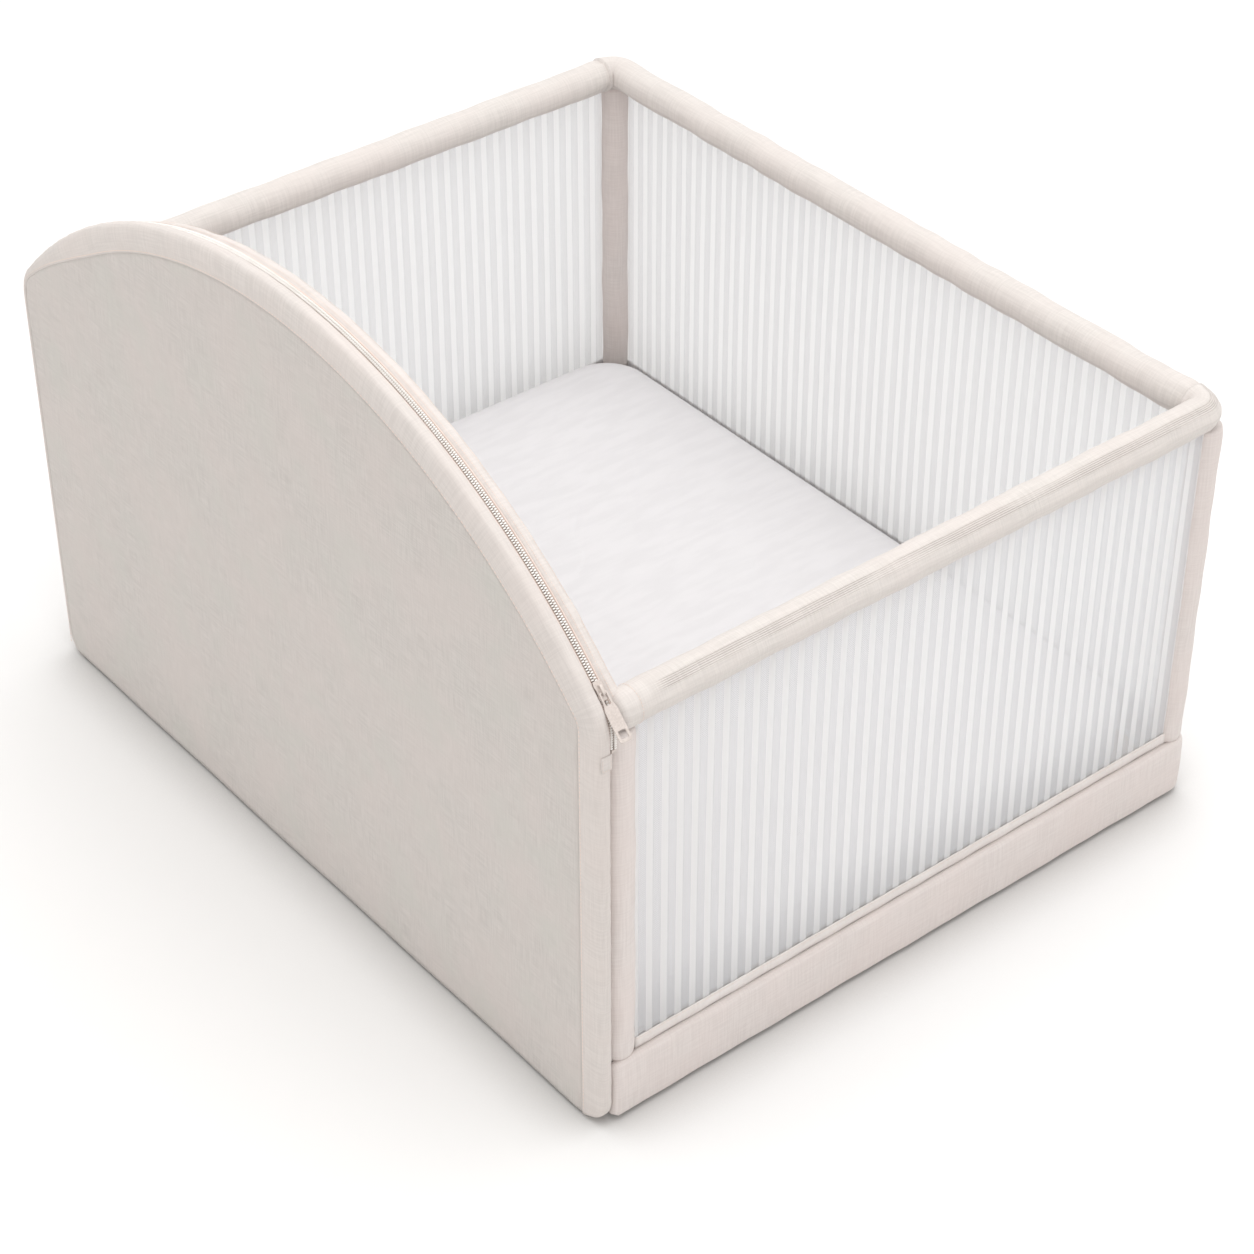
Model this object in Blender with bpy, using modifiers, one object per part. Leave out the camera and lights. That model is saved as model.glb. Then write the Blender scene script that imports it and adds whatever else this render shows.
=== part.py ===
"""A playpen with a knock-down tube frame and one arched, zip-fastened drop side.

Units are metres, +Z is up. The origin is on the floor under the middle of the footprint.
X runs across, from the arched side (-X) to the mesh side (+X); Y runs along the arched side.
"""

import math

import bmesh
import bpy
from mathutils import Matrix, Vector

# Overall sizes
WIDTH = 0.960
LENGTH = 1.160
RAIL_TOP = 0.600
ARCH_TOP = 0.844
ARCH_CORNER_RADIUS = 0.060

# Gaps between pieces
TOUCH = 0.0003
SLIP = 0.001

# Plinth and floor
FOOT_HEIGHT = 0.008
FOOT_RADIUS = 0.011
BAND_HEIGHT = 0.088
BAND_BOTTOM = 0.006
BAND_WALL = 0.003
BAND_FOOT_GAP = 0.0005
FLOOR_TUBE_Z = 0.040
BOARD_THICKNESS = 0.006
BOARD_CORNER = 0.045

# Rails, posts and arch
RAIL_SLEEVE_RADIUS = 0.022
RAIL_TUBE_RADIUS = 0.0125
POST_SLEEVE_RADIUS = 0.017
LEFT_POST_HALF_WIDTH = 0.021
POST_TUBE_RADIUS = 0.0095
FLOOR_TUBE_RADIUS = 0.011
TUBE_WALL = 0.0012
ARCH_INSET = 0.022
ARCH_TUBE_RADIUS = 0.008
ARCH_SLEEVE_RADIUS = 0.0125
BLOCK_RADIUS = 0.0125
COLLAR_LENGTH = 0.013
SPIGOT_LENGTH = 0.045
ARCH_SPIGOT_LENGTH = 0.022
SPIGOT_PLAY = 0.0008
ARM_OVERLAP = 0.0004

# Arched side
PANEL_THICKNESS = 0.020
PANEL_BOTTOM = 0.005
BORDER_WIDTH = 0.034
BORDER_ROUND = 0.009
COVER_THICKNESS = 0.004
BOARD_PANEL_THICKNESS = 0.005
LINING_THICKNESS = 0.002
PANEL_INLET = 0.0015
HINGE_Z = 0.003
HINGE_STRIP_WIDTH = 0.034
HINGE_STRIP_THICKNESS = 0.0022

# Zip, measured inwards from the arch's outer edge, and across
CHAIN_WIDTH = 0.0056
COIL_INSET = 0.0053
COIL_THICKNESS = 0.002
TAPE_THICKNESS = 0.0007
ZIP_GROOVE = 0.0104
CHAIN_END_Z = 0.545
STOP_HEIGHT = 0.004
SLIDER_LENGTH = 0.020
SLIDER_WIDTH = 0.011
PLATE_THICKNESS = 0.0018
PLATE_GAP = 0.0007
CROWN_HALF_LENGTH = 0.006
CROWN_GAP = 0.0032
CROWN_THICKNESS = 0.0016
CROWN_WIDTH = 0.003
PULL_LENGTH = 0.054
PULL_WIDTH = 0.016
PULL_THICKNESS = 0.0016

# Walls
MESH_THICKNESS = 0.0012
MESH_FROM_AXIS = 0.0088
HEM_HEIGHT = 0.020
HEM_THICKNESS = 0.0012

# Mattress
MATTRESS_TOP = 0.155
MATTRESS_GAP = 0.0025
MATTRESS_CORNER = 0.065
MATTRESS_WALL = 0.0025
MATTRESS_BASE = 0.004

# Worked out from the sizes above
HALF_W = WIDTH / 2
HALF_L = LENGTH / 2
RAIL_Z = RAIL_TOP - RAIL_SLEEVE_RADIUS
POST_Y = HALF_L - RAIL_SLEEVE_RADIUS
RIGHT_X = HALF_W - RAIL_SLEEVE_RADIUS
PANEL_OUT = -HALF_W
PANEL_IN = PANEL_OUT + PANEL_THICKNESS
LEFT_X = PANEL_IN + SLIP + LEFT_POST_HALF_WIDTH
# The arch tube's circle runs from corner block to corner block, through the top of the arch.
ARCH_RISE = ARCH_TOP - ARCH_INSET - RAIL_Z
ARCH_LINE_RADIUS = (POST_Y**2 + ARCH_RISE**2) / (2 * ARCH_RISE)
ARCH_RADIUS = ARCH_LINE_RADIUS + ARCH_INSET
ARCH_CENTRE_Z = ARCH_TOP - ARCH_RADIUS
FILLET_Y = HALF_L - ARCH_CORNER_RADIUS
FILLET_ANGLE = math.asin(FILLET_Y / (ARCH_RADIUS - ARCH_CORNER_RADIUS))
FILLET_Z = ARCH_CENTRE_Z + (ARCH_RADIUS - ARCH_CORNER_RADIUS) * math.cos(FILLET_ANGLE)
ARCH_END_ANGLE = math.asin(POST_Y / ARCH_LINE_RADIUS)
ZIP_X = PANEL_IN + ZIP_GROOVE / 2 + TOUCH
TAPE_INSET = COIL_INSET + COIL_THICKNESS + TOUCH
SLIDER_ANGLE = FILLET_ANGLE - (SLIDER_LENGTH / 2 + SLIP) / ARCH_RADIUS
BOARD_Z = FLOOR_TUBE_Z + FLOOR_TUBE_RADIUS + TOUCH
# The plinth's lips reach in to the feet, and the foam fills what the other layers leave of the side.
BAND_LIP = RAIL_SLEEVE_RADIUS - FOOT_RADIUS - BAND_FOOT_GAP
PANEL_FILL = COVER_THICKNESS + BOARD_PANEL_THICKNESS + LINING_THICKNESS + 3 * TOUCH
FOAM_THICKNESS = PANEL_THICKNESS - 2 * PANEL_INLET - PANEL_FILL

FABRIC = ("fabric_linen", (0.80, 0.74, 0.69), 0.9, 0.0)
PANEL_FABRIC = ("fabric_panel", (0.70, 0.65, 0.61), 0.9, 0.0)
MESH_CLOTH = ("mesh_white", (0.92, 0.92, 0.92), 0.85, 0.0)
QUILT = ("quilt_white", (0.93, 0.93, 0.94), 0.9, 0.0)
FOAM = ("foam", (0.85, 0.84, 0.80), 0.95, 0.0)
BOARD = ("fibre_board", (0.55, 0.42, 0.30), 0.8, 0.0)
STEEL = ("painted_steel", (0.75, 0.74, 0.72), 0.4, 0.6)
NYLON = ("moulded_nylon", (0.72, 0.70, 0.67), 0.5, 0.0)
ZIP_METAL = ("zip_metal", (0.62, 0.57, 0.53), 0.35, 0.8)
ZIP_TAPE = ("zip_tape", (0.74, 0.67, 0.62), 0.85, 0.0)
RUBBER = ("rubber_foot", (0.20, 0.20, 0.20), 0.8, 0.0)


def clear_scene():
    for obj in list(bpy.data.objects):
        bpy.data.objects.remove(obj, do_unlink=True)


def make_collection(name):
    collection = bpy.data.collections.new(name)
    bpy.context.scene.collection.children.link(collection)
    return collection


def material(spec):
    name, colour, roughness, metallic = spec
    found = bpy.data.materials.get(name)
    if found:
        return found
    made = bpy.data.materials.new(name)
    made.use_nodes = True
    shader = made.node_tree.nodes["Principled BSDF"]
    shader.inputs["Base Color"].default_value = (*colour, 1.0)
    shader.inputs["Roughness"].default_value = roughness
    shader.inputs["Metallic"].default_value = metallic
    return made


def add(name, data, finish):
    obj = bpy.data.objects.new(name, data)
    obj.data.materials.append(material(finish))
    PARTS.objects.link(obj)
    return obj


def cutter(obj):
    PARTS.objects.unlink(obj)
    CUTTERS.objects.link(obj)
    obj.hide_render = True
    obj.display_type = "WIRE"


def to_mesh(obj):
    """Turn a curve object into a mesh object of the same name and place."""
    graph = bpy.context.evaluated_depsgraph_get()
    mesh = bpy.data.meshes.new_from_object(obj.evaluated_get(graph))
    weld(mesh)
    name = obj.name
    made = bpy.data.objects.new(name + "_mesh", mesh)
    made.matrix_world = obj.matrix_world
    PARTS.objects.link(made)
    bpy.data.objects.remove(obj, do_unlink=True)
    made.name = name
    return made


def weld(mesh):
    shape = bmesh.new()
    shape.from_mesh(mesh)
    bmesh.ops.remove_doubles(shape, verts=shape.verts, dist=0.00001)
    shape.to_mesh(mesh)
    shape.free()


def line_curve(name, points, radius, finish, sides, caps):
    curve = bpy.data.curves.new(name, "CURVE")
    curve.dimensions = "3D"
    spline = curve.splines.new("POLY")
    spline.points.add(len(points) - 1)
    for point, place in zip(spline.points, points):
        point.co = (*place, 1.0)
    curve.bevel_depth = radius
    curve.bevel_resolution = sides // 2 - 2
    curve.use_fill_caps = caps
    return add(name, curve, finish)


def rod(name, start, end, radius, finish, sides=12):
    return line_curve(name, [start, end], radius, finish, sides, True)


def hollow(name, points, radius, wall, finish, sides=12, stretch=(1, 1, 1)):
    """A tube or sleeve along the points, open at both ends."""
    centre = Vector(points[0])
    tube = to_mesh(line_curve(name, [Vector(p) - centre for p in points], radius, finish, sides, False))
    tube.data.transform(Matrix.Diagonal((*stretch, 1)))
    tube.location = centre
    shell = tube.modifiers.new("wall", "SOLIDIFY")
    shell.thickness = wall
    shell.offset = -1
    shell.use_even_offset = True
    tube.data.shade_smooth()
    return tube


def wall_between(outer, inner, sides):
    """The wall of a sleeve with flat sides that just clears a round tube inside it."""
    return outer * math.cos(math.pi / sides) - inner - TOUCH


def slab(name, outline, axis, middle, thickness, finish):
    """A flat piece: a closed outline in the plane square to an axis, extruded along it."""
    curve = bpy.data.curves.new(name, "CURVE")
    curve.dimensions = "2D"
    curve.fill_mode = "BOTH"
    curve.extrude = thickness / 2
    spline = curve.splines.new("POLY")
    spline.points.add(len(outline) - 1)
    for point, (u, v) in zip(spline.points, outline):
        point.co = (u, v, 0, 1)
    spline.use_cyclic_u = True
    obj = add(name, curve, finish)
    if axis == "X":
        obj.rotation_euler = (math.pi / 2, 0, math.pi / 2)
        obj.location.x = middle
    elif axis == "Y":
        obj.rotation_euler = (math.pi / 2, 0, math.pi)
        obj.location.y = middle
    else:
        obj.location.z = middle
    bpy.context.view_layer.update()
    return obj


def box(name, low, high, finish, rounding=0.0, segments=2):
    size = [b - a for a, b in zip(low, high)]
    mesh = bpy.data.meshes.new(name)
    shape = bmesh.new()
    bmesh.ops.create_cube(shape, size=1, matrix=Matrix.Diagonal((*size, 1)))
    shape.to_mesh(mesh)
    shape.free()
    obj = add(name, mesh, finish)
    obj.location = [(a + b) / 2 for a, b in zip(low, high)]
    if rounding:
        bevel = obj.modifiers.new("round", "BEVEL")
        bevel.width = rounding
        bevel.segments = segments
    return obj


def union(base, others):
    for other in others:
        joined = base.modifiers.new("join", "BOOLEAN")
        joined.operation = "UNION"
        joined.solver = "MANIFOLD"
        joined.object = other
        cutter(other)


def rounded_rectangle(low, high, radius, steps=5):
    points = []
    corners = (
        (high[0] - radius, high[1] - radius, 0),
        (low[0] + radius, high[1] - radius, 90),
        (low[0] + radius, low[1] + radius, 180),
        (high[0] - radius, low[1] + radius, 270),
    )
    for x, y, start in corners:
        for step in range(steps + 1):
            turn = math.radians(start + 90 * step / steps)
            points.append((x + radius * math.cos(turn), y + radius * math.sin(turn)))
    return points


def arc_point(inset, angle):
    """(y, z) on the arch, at an angle from its top towards the front."""
    radius = ARCH_RADIUS - inset
    return -radius * math.sin(angle), ARCH_CENTRE_Z + radius * math.cos(angle)


def corner_points(inset, steps=5):
    """The rounded front corner, from the arc down to the upright edge."""
    radius = ARCH_CORNER_RADIUS - inset
    turns = [FILLET_ANGLE + (math.pi / 2 - FILLET_ANGLE) * k / steps for k in range(steps + 1)]
    return [(-FILLET_Y - radius * math.sin(a), FILLET_Z + radius * math.cos(a)) for a in turns]


def arch_outline(inset, bottom, steps=13):
    """(y, z) from the front foot, over the arch, to the back foot."""
    arc = [arc_point(inset, FILLET_ANGLE * k / steps) for k in range(steps)]
    front = arc + corner_points(inset) + [(-HALF_L + inset, bottom)]
    return front[::-1] + [(-y, z) for y, z in front[1:]]


def chain_path(inset, steps=26):
    """(y, z) along the zip, from its front end round the corner to its back end on the arc."""
    arc = [arc_point(inset, FILLET_ANGLE * (1 - 2 * k / steps)) for k in range(1, steps + 1)]
    return [(-HALF_L + inset, CHAIN_END_Z)] + corner_points(inset)[::-1] + arc


def make_tube_frame():
    for side, y in (("front", -POST_Y), ("back", POST_Y)):
        for name, x in (("left", LEFT_X), ("right", RIGHT_X)):
            bottom = FLOOR_TUBE_Z + COLLAR_LENGTH + TOUCH
            hollow(
                f"post_tube_{side}_{name}",
                [(x, y, bottom), (x, y, RAIL_Z - COLLAR_LENGTH - TOUCH)],
                POST_TUBE_RADIUS,
                TUBE_WALL,
                STEEL,
            )
        reach = COLLAR_LENGTH + TOUCH
        for part, z, radius in (("rail", RAIL_Z, RAIL_TUBE_RADIUS), ("floor", FLOOR_TUBE_Z, FLOOR_TUBE_RADIUS)):
            hollow(
                f"{part}_tube_{side}",
                [(LEFT_X + reach, y, z), (RIGHT_X - reach, y, z)],
                radius,
                TUBE_WALL,
                STEEL,
            )
    reach = COLLAR_LENGTH + TOUCH
    for name, x, z, radius in (
        ("rail_tube_right", RIGHT_X, RAIL_Z, RAIL_TUBE_RADIUS),
        ("floor_tube_right", RIGHT_X, FLOOR_TUBE_Z, FLOOR_TUBE_RADIUS),
        ("floor_tube_left", LEFT_X, FLOOR_TUBE_Z, FLOOR_TUBE_RADIUS),
    ):
        hollow(name, [(x, -POST_Y + reach, z), (x, POST_Y - reach, z)], radius, TUBE_WALL, STEEL)


def arch_line(end_angle, steps=26):
    angles = [end_angle * (1 - 2 * k / steps) for k in range(steps + 1)]
    return [(LEFT_X, *arc_point(ARCH_INSET, a)) for a in angles]


def make_arch():
    arch_end = ARCH_END_ANGLE - (COLLAR_LENGTH + SLIP) / ARCH_LINE_RADIUS
    hollow("arch_tube", arch_line(arch_end), ARCH_TUBE_RADIUS, TUBE_WALL, STEEL)
    wall = wall_between(ARCH_SLEEVE_RADIUS, ARCH_TUBE_RADIUS, 12)
    hollow("arch_sleeve", arch_line(arch_end), ARCH_SLEEVE_RADIUS, wall, FABRIC)


def ball(name, centre, radius, finish):
    mesh = bpy.data.meshes.new(name)
    shape = bmesh.new()
    bmesh.ops.create_uvsphere(shape, u_segments=12, v_segments=8, radius=radius)
    shape.to_mesh(mesh)
    shape.free()
    obj = add(name, mesh, finish)
    obj.location = centre
    return obj


def make_block(name, centre, arms):
    """A moulded corner: a ball with a collar and a spigot for each tube that meets there."""
    centre = Vector(centre)
    block = ball(name, centre, BLOCK_RADIUS, NYLON)
    pieces = []
    for index, (direction, tube_radius) in enumerate(arms):
        way = Vector(direction).normalized()
        bore = (tube_radius - TUBE_WALL) * math.cos(math.pi / 12)
        reach = ARCH_SPIGOT_LENGTH if tube_radius == ARCH_TUBE_RADIUS else SPIGOT_LENGTH
        for step, (kind, radius, length) in enumerate(
            (
                ("collar", tube_radius - TOUCH, COLLAR_LENGTH),
                ("spigot", bore - SPIGOT_PLAY, reach),
            )
        ):
            # Each arm starts a little behind the centre, so that no two end faces share a plane.
            start = -way * ARM_OVERLAP * (2 * index + step + 1)
            arm = to_mesh(rod(f"{name}_{kind}_{index}", start, way * length, radius, NYLON))
            arm.location = centre
            pieces.append(arm)
    union(block, pieces)


def make_blocks():
    up, down = (0, 0, 1), (0, 0, -1)
    for side, y, along in (("front", -POST_Y, 1), ("back", POST_Y, -1)):
        slope = (0, along * math.cos(ARCH_END_ANGLE), math.sin(ARCH_END_ANGLE))
        make_block(
            f"corner_block_{side}_left",
            (LEFT_X, y, RAIL_Z),
            [((1, 0, 0), RAIL_TUBE_RADIUS), (down, POST_TUBE_RADIUS), (slope, ARCH_TUBE_RADIUS)],
        )
        make_block(
            f"corner_block_{side}_right",
            (RIGHT_X, y, RAIL_Z),
            [((-1, 0, 0), RAIL_TUBE_RADIUS), (down, POST_TUBE_RADIUS), ((0, along, 0), RAIL_TUBE_RADIUS)],
        )
        for name, x, across in (("left", LEFT_X, 1), ("right", RIGHT_X, -1)):
            floor_arms = [((across, 0, 0), FLOOR_TUBE_RADIUS), ((0, along, 0), FLOOR_TUBE_RADIUS)]
            make_foot_block(f"{side}_{name}", x, y, floor_arms + [(up, POST_TUBE_RADIUS)])


def make_foot_block(where, x, y, arms):
    name = f"foot_block_{where}"
    make_block(name, (x, y, FLOOR_TUBE_Z), arms)
    leg_top = (0, 0, ARM_OVERLAP * (2 * len(arms) + 1))
    leg_end = (0, 0, FOOT_HEIGHT + TOUCH - FLOOR_TUBE_Z)
    leg = to_mesh(rod(f"{name}_leg", leg_top, leg_end, FOOT_RADIUS - SLIP, NYLON))
    leg.location = (x, y, FLOOR_TUBE_Z)
    union(bpy.data.objects[name], [leg])
    rod(f"foot_{where}", (x, y, 0), (x, y, FOOT_HEIGHT), FOOT_RADIUS, RUBBER, sides=16)


def make_sleeves():
    """Padded fabric sleeves: foam and cover as one wall."""
    reach = COLLAR_LENGTH + SLIP
    wall = wall_between(RAIL_SLEEVE_RADIUS, RAIL_TUBE_RADIUS, 16)
    runs = (
        ("rail_sleeve_front", (LEFT_X + reach, -POST_Y), (RIGHT_X - reach, -POST_Y)),
        ("rail_sleeve_back", (LEFT_X + reach, POST_Y), (RIGHT_X - reach, POST_Y)),
        ("rail_sleeve_right", (RIGHT_X, -POST_Y + reach), (RIGHT_X, POST_Y - reach)),
    )
    shorter = RAIL_SLEEVE_RADIUS - COLLAR_LENGTH
    for name, start, end in runs:
        start = Vector((*start, RAIL_Z))
        end = Vector((*end, RAIL_Z))
        if name.endswith("right"):
            start.y += shorter
            end.y -= shorter
        hollow(name, [start, end], RAIL_SLEEVE_RADIUS, wall, FABRIC, sides=16)
    under_rail = RAIL_Z - RAIL_SLEEVE_RADIUS - TOUCH
    under_chain = min(under_rail, CHAIN_END_Z - STOP_HEIGHT - SLIP)
    wall = wall_between(POST_SLEEVE_RADIUS, POST_TUBE_RADIUS, 16)
    for side, y in (("front", -POST_Y), ("back", POST_Y)):
        for name, x, half_width, top in (
            ("left", LEFT_X, LEFT_POST_HALF_WIDTH, under_chain),
            ("right", RIGHT_X, POST_SLEEVE_RADIUS, under_rail),
        ):
            hollow(
                f"post_sleeve_{side}_{name}",
                [(x, y, BAND_HEIGHT + TOUCH), (x, y, top)],
                POST_SLEEVE_RADIUS,
                wall,
                FABRIC,
                sides=16,
                stretch=(half_width / POST_SLEEVE_RADIUS, 1, 1),
            )


def band_profile():
    """The plinth cover's channel section: depth inwards from the outer face, and height."""
    wall = BAND_WALL
    return [
        (0, BAND_BOTTOM),
        (BAND_LIP, BAND_BOTTOM),
        (BAND_LIP, BAND_BOTTOM + wall),
        (wall, BAND_BOTTOM + wall),
        (wall, BAND_HEIGHT - wall),
        (BAND_LIP, BAND_HEIGHT - wall),
        (BAND_LIP, BAND_HEIGHT),
        (0, BAND_HEIGHT),
    ]


def make_band():
    """Three channel covers; the right one butts between the front and back ones."""
    for name, sign in (("front", -1), ("back", 1)):
        outline = [(sign * (HALF_L - depth), z) for depth, z in band_profile()]
        length = HALF_W - (PANEL_IN + SLIP)
        middle = (HALF_W + PANEL_IN + SLIP) / 2
        slab(f"base_band_{name}", outline, "X", middle, length, FABRIC)
    outline = [(-(HALF_W - depth), z) for depth, z in band_profile()]
    length = 2 * (HALF_L - BAND_LIP - TOUCH)
    slab("base_band_right", outline, "Y", 0, length, FABRIC)


def make_walls():
    """Striped mesh between the posts, with a hem strip along the foot of each."""
    top_gap = math.sqrt(RAIL_SLEEVE_RADIUS**2 - MESH_FROM_AXIS**2)
    low, high = BAND_HEIGHT - HEM_HEIGHT, RAIL_Z - top_gap - TOUCH
    hem_low, hem_high = BAND_HEIGHT + TOUCH, BAND_HEIGHT + HEM_HEIGHT
    left = LEFT_X + LEFT_POST_HALF_WIDTH + TOUCH
    right = RIGHT_X - POST_SLEEVE_RADIUS - TOUCH
    near = MESH_FROM_AXIS
    far = near + MESH_THICKNESS
    hem_far = far + TOUCH + HEM_THICKNESS
    for name, sign in (("front", -1), ("back", 1)):
        across = sorted(sign * (POST_Y + d) for d in (near, far))
        box(f"mesh_{name}", (left, across[0], low), (right, across[1], high), MESH_CLOTH)
        across = sorted(sign * (POST_Y + d) for d in (far + TOUCH, hem_far))
        box(f"mesh_hem_{name}", (left, across[0], hem_low), (right, across[1], hem_high), FABRIC)
    reach = POST_Y - POST_SLEEVE_RADIUS - TOUCH
    box("mesh_right", (RIGHT_X + near, -reach, low), (RIGHT_X + far, reach, high), MESH_CLOTH)
    box(
        "mesh_hem_right",
        (RIGHT_X + far + TOUCH, -reach, hem_low),
        (RIGHT_X + hem_far, reach, hem_high),
        FABRIC,
    )


def make_side():
    """The arched side: border roll round the edge, and cover, foam, board and lining inside it."""
    outer = arch_outline(0, PANEL_BOTTOM)
    inner = arch_outline(BORDER_WIDTH, PANEL_BOTTOM)
    middle = (PANEL_OUT + PANEL_IN) / 2
    border = slab("panel_border", outer + inner[::-1], "X", middle, PANEL_THICKNESS, FABRIC)
    border = to_mesh(border)
    roll = border.modifiers.new("roll", "BEVEL")
    roll.width = BORDER_ROUND
    roll.segments = 4
    roll.use_clamp_overlap = False
    roll.limit_method = "ANGLE"
    roll.angle_limit = math.radians(60)
    core = arch_outline(BORDER_WIDTH + TOUCH, PANEL_BOTTOM)
    x = PANEL_OUT + PANEL_INLET
    for name, thickness, finish in (
        ("panel_cover", COVER_THICKNESS, PANEL_FABRIC),
        ("panel_foam", FOAM_THICKNESS, FOAM),
        ("panel_board", BOARD_PANEL_THICKNESS, BOARD),
        ("panel_lining", LINING_THICKNESS, FABRIC),
    ):
        slab(name, core, "X", x + thickness / 2, thickness, finish)
        x += thickness + TOUCH
    reach = POST_Y - LEFT_POST_HALF_WIDTH - BOARD_CORNER
    box(
        "hinge_strip",
        (PANEL_IN + SLIP, -reach, PANEL_BOTTOM),
        (PANEL_IN + SLIP + HINGE_STRIP_WIDTH, reach, PANEL_BOTTOM + HINGE_STRIP_THICKNESS),
        FABRIC,
    )


def chain_strip(name, near_x, far_x, inset, thickness, finish):
    outline = chain_path(inset) + chain_path(inset + thickness)[::-1]
    slab(name, outline, "X", (near_x + far_x) / 2, abs(far_x - near_x), finish)


def make_zip():
    half_gap = TOUCH / 2
    half_chain = CHAIN_WIDTH / 2
    groove = ZIP_GROOVE / 2
    for name, way in (("panel", -1), ("frame", 1)):
        near = ZIP_X + way * half_gap
        chain_strip(f"zip_coil_{name}", near, ZIP_X + way * half_chain, COIL_INSET, COIL_THICKNESS, ZIP_METAL)
        chain_strip(f"zip_tape_{name}", near, ZIP_X + way * groove, TAPE_INSET, TAPE_THICKNESS, ZIP_TAPE)
    edge = -HALF_L + COIL_INSET
    box(
        "zip_stop_front",
        (ZIP_X - half_chain, edge, CHAIN_END_Z - TOUCH - STOP_HEIGHT),
        (ZIP_X + half_chain, edge + COIL_THICKNESS, CHAIN_END_Z - TOUCH),
        ZIP_METAL,
    )
    past = FILLET_ANGLE + (TOUCH + STOP_HEIGHT / 2) / (ARCH_RADIUS - COIL_INSET)
    y, z = arc_point(COIL_INSET + COIL_THICKNESS / 2, past)
    stop = box(
        "zip_stop_back",
        (-half_chain, -STOP_HEIGHT / 2, -COIL_THICKNESS / 2),
        (half_chain, STOP_HEIGHT / 2, COIL_THICKNESS / 2),
        ZIP_METAL,
    )
    stop.location = (ZIP_X, -y, z)
    stop.rotation_euler.x = -past
    box(
        "zip_garage",
        (PANEL_OUT + 0.004, -HALF_L - TOUCH - 0.0012, CHAIN_END_Z - 0.018),
        (PANEL_IN - 0.002, -HALF_L - TOUCH, CHAIN_END_Z + 0.002),
        FABRIC,
    )


def crown_outline():
    """The slider's bridge in side view: along the chain, and height above the coil."""
    low = PLATE_GAP + PLATE_THICKNESS / 2
    under = PLATE_GAP + PLATE_THICKNESS + CROWN_GAP
    top = under + CROWN_THICKNESS
    half, inner = CROWN_HALF_LENGTH, CROWN_HALF_LENGTH - CROWN_THICKNESS
    shoulder = CROWN_THICKNESS
    outside = [(half, low), (half, top - 1.2 * shoulder), (half - shoulder, top)]
    inside = [(inner, low), (inner, under - shoulder / 2), (inner - shoulder / 2, under)]
    left_out = [(-u, v) for u, v in outside[::-1]]
    left_in = [(-u, v) for u, v in inside]
    return outside + left_out + left_in + inside[::-1]


def make_slider():
    holder = bpy.data.objects.new("slider_place", None)
    PARTS.objects.link(holder)
    y, z = arc_point(COIL_INSET, SLIDER_ANGLE)
    holder.location = (ZIP_X, y, z)
    holder.rotation_euler.x = SLIDER_ANGLE
    half_w, half_l = SLIDER_WIDTH / 2, SLIDER_LENGTH / 2
    plate_top = PLATE_GAP + PLATE_THICKNESS
    slider = box(
        "zip_slider",
        (-half_w, -half_l, PLATE_GAP),
        (half_w, half_l, plate_top),
        ZIP_METAL,
    )
    crown = to_mesh(slab("slider_crown", crown_outline(), "X", 0, CROWN_WIDTH, ZIP_METAL))
    rim_inner = CHAIN_WIDTH / 2 + SLIP / 2
    rim = box(
        "slider_rim",
        (rim_inner, -half_l + SLIP, -COIL_THICKNESS + TOUCH),
        (half_w - TOUCH, half_l - SLIP, PLATE_GAP + PLATE_THICKNESS / 2),
        ZIP_METAL,
    )
    union(slider, [crown, rim])
    pivot = Vector((0, -CROWN_HALF_LENGTH / 2, plate_top + CROWN_GAP / 2))
    pull = to_mesh(make_pull())
    pull.location = pivot
    for piece in (slider, crown, rim, pull):
        piece.parent = holder


def make_pull():
    """A flat tab: an eye round the crown at its top, and a window near its end."""
    bar, arm = 0.001, 0.0014
    eye_half = CROWN_WIDTH / 2 + 0.0017
    eye_end = -(2 * CROWN_HALF_LENGTH - bar)
    arm_half = eye_half + arm
    half = PULL_WIDTH / 2
    cut = half / 3
    outer = [
        (arm_half, bar),
        (arm_half, eye_end + bar),
        (half, eye_end - cut),
        (half, -PULL_LENGTH + cut),
        (half - cut, -PULL_LENGTH),
    ]
    outline = outer + [(-x, y) for x, y in outer[::-1]]
    window_half, window_low = half - cut, -PULL_LENGTH + cut
    holes = (
        [(eye_half, -bar), (-eye_half, -bar), (-eye_half, eye_end), (eye_half, eye_end)],
        [(window_half, window_low + half), (-window_half, window_low + half),
         (-window_half, window_low), (window_half, window_low)],
    )
    pull = slab("zip_pull", outline, "Z", 0, PULL_THICKNESS, ZIP_METAL)
    for hole in holes:
        spline = pull.data.splines.new("POLY")
        spline.points.add(len(hole) - 1)
        for point, (u, v) in zip(spline.points, hole):
            point.co = (u, v, 0, 1)
        spline.use_cyclic_u = True
    bpy.context.view_layer.update()
    return pull


def make_floor():
    edge = TOUCH + POST_TUBE_RADIUS + SLIP
    low = (LEFT_X + edge, -POST_Y + edge)
    high = (RIGHT_X - edge, POST_Y - edge)
    outline = rounded_rectangle(low, high, BOARD_CORNER)
    slab("floor_board", outline, "Z", BOARD_Z + BOARD_THICKNESS / 2, BOARD_THICKNESS, BOARD)


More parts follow.
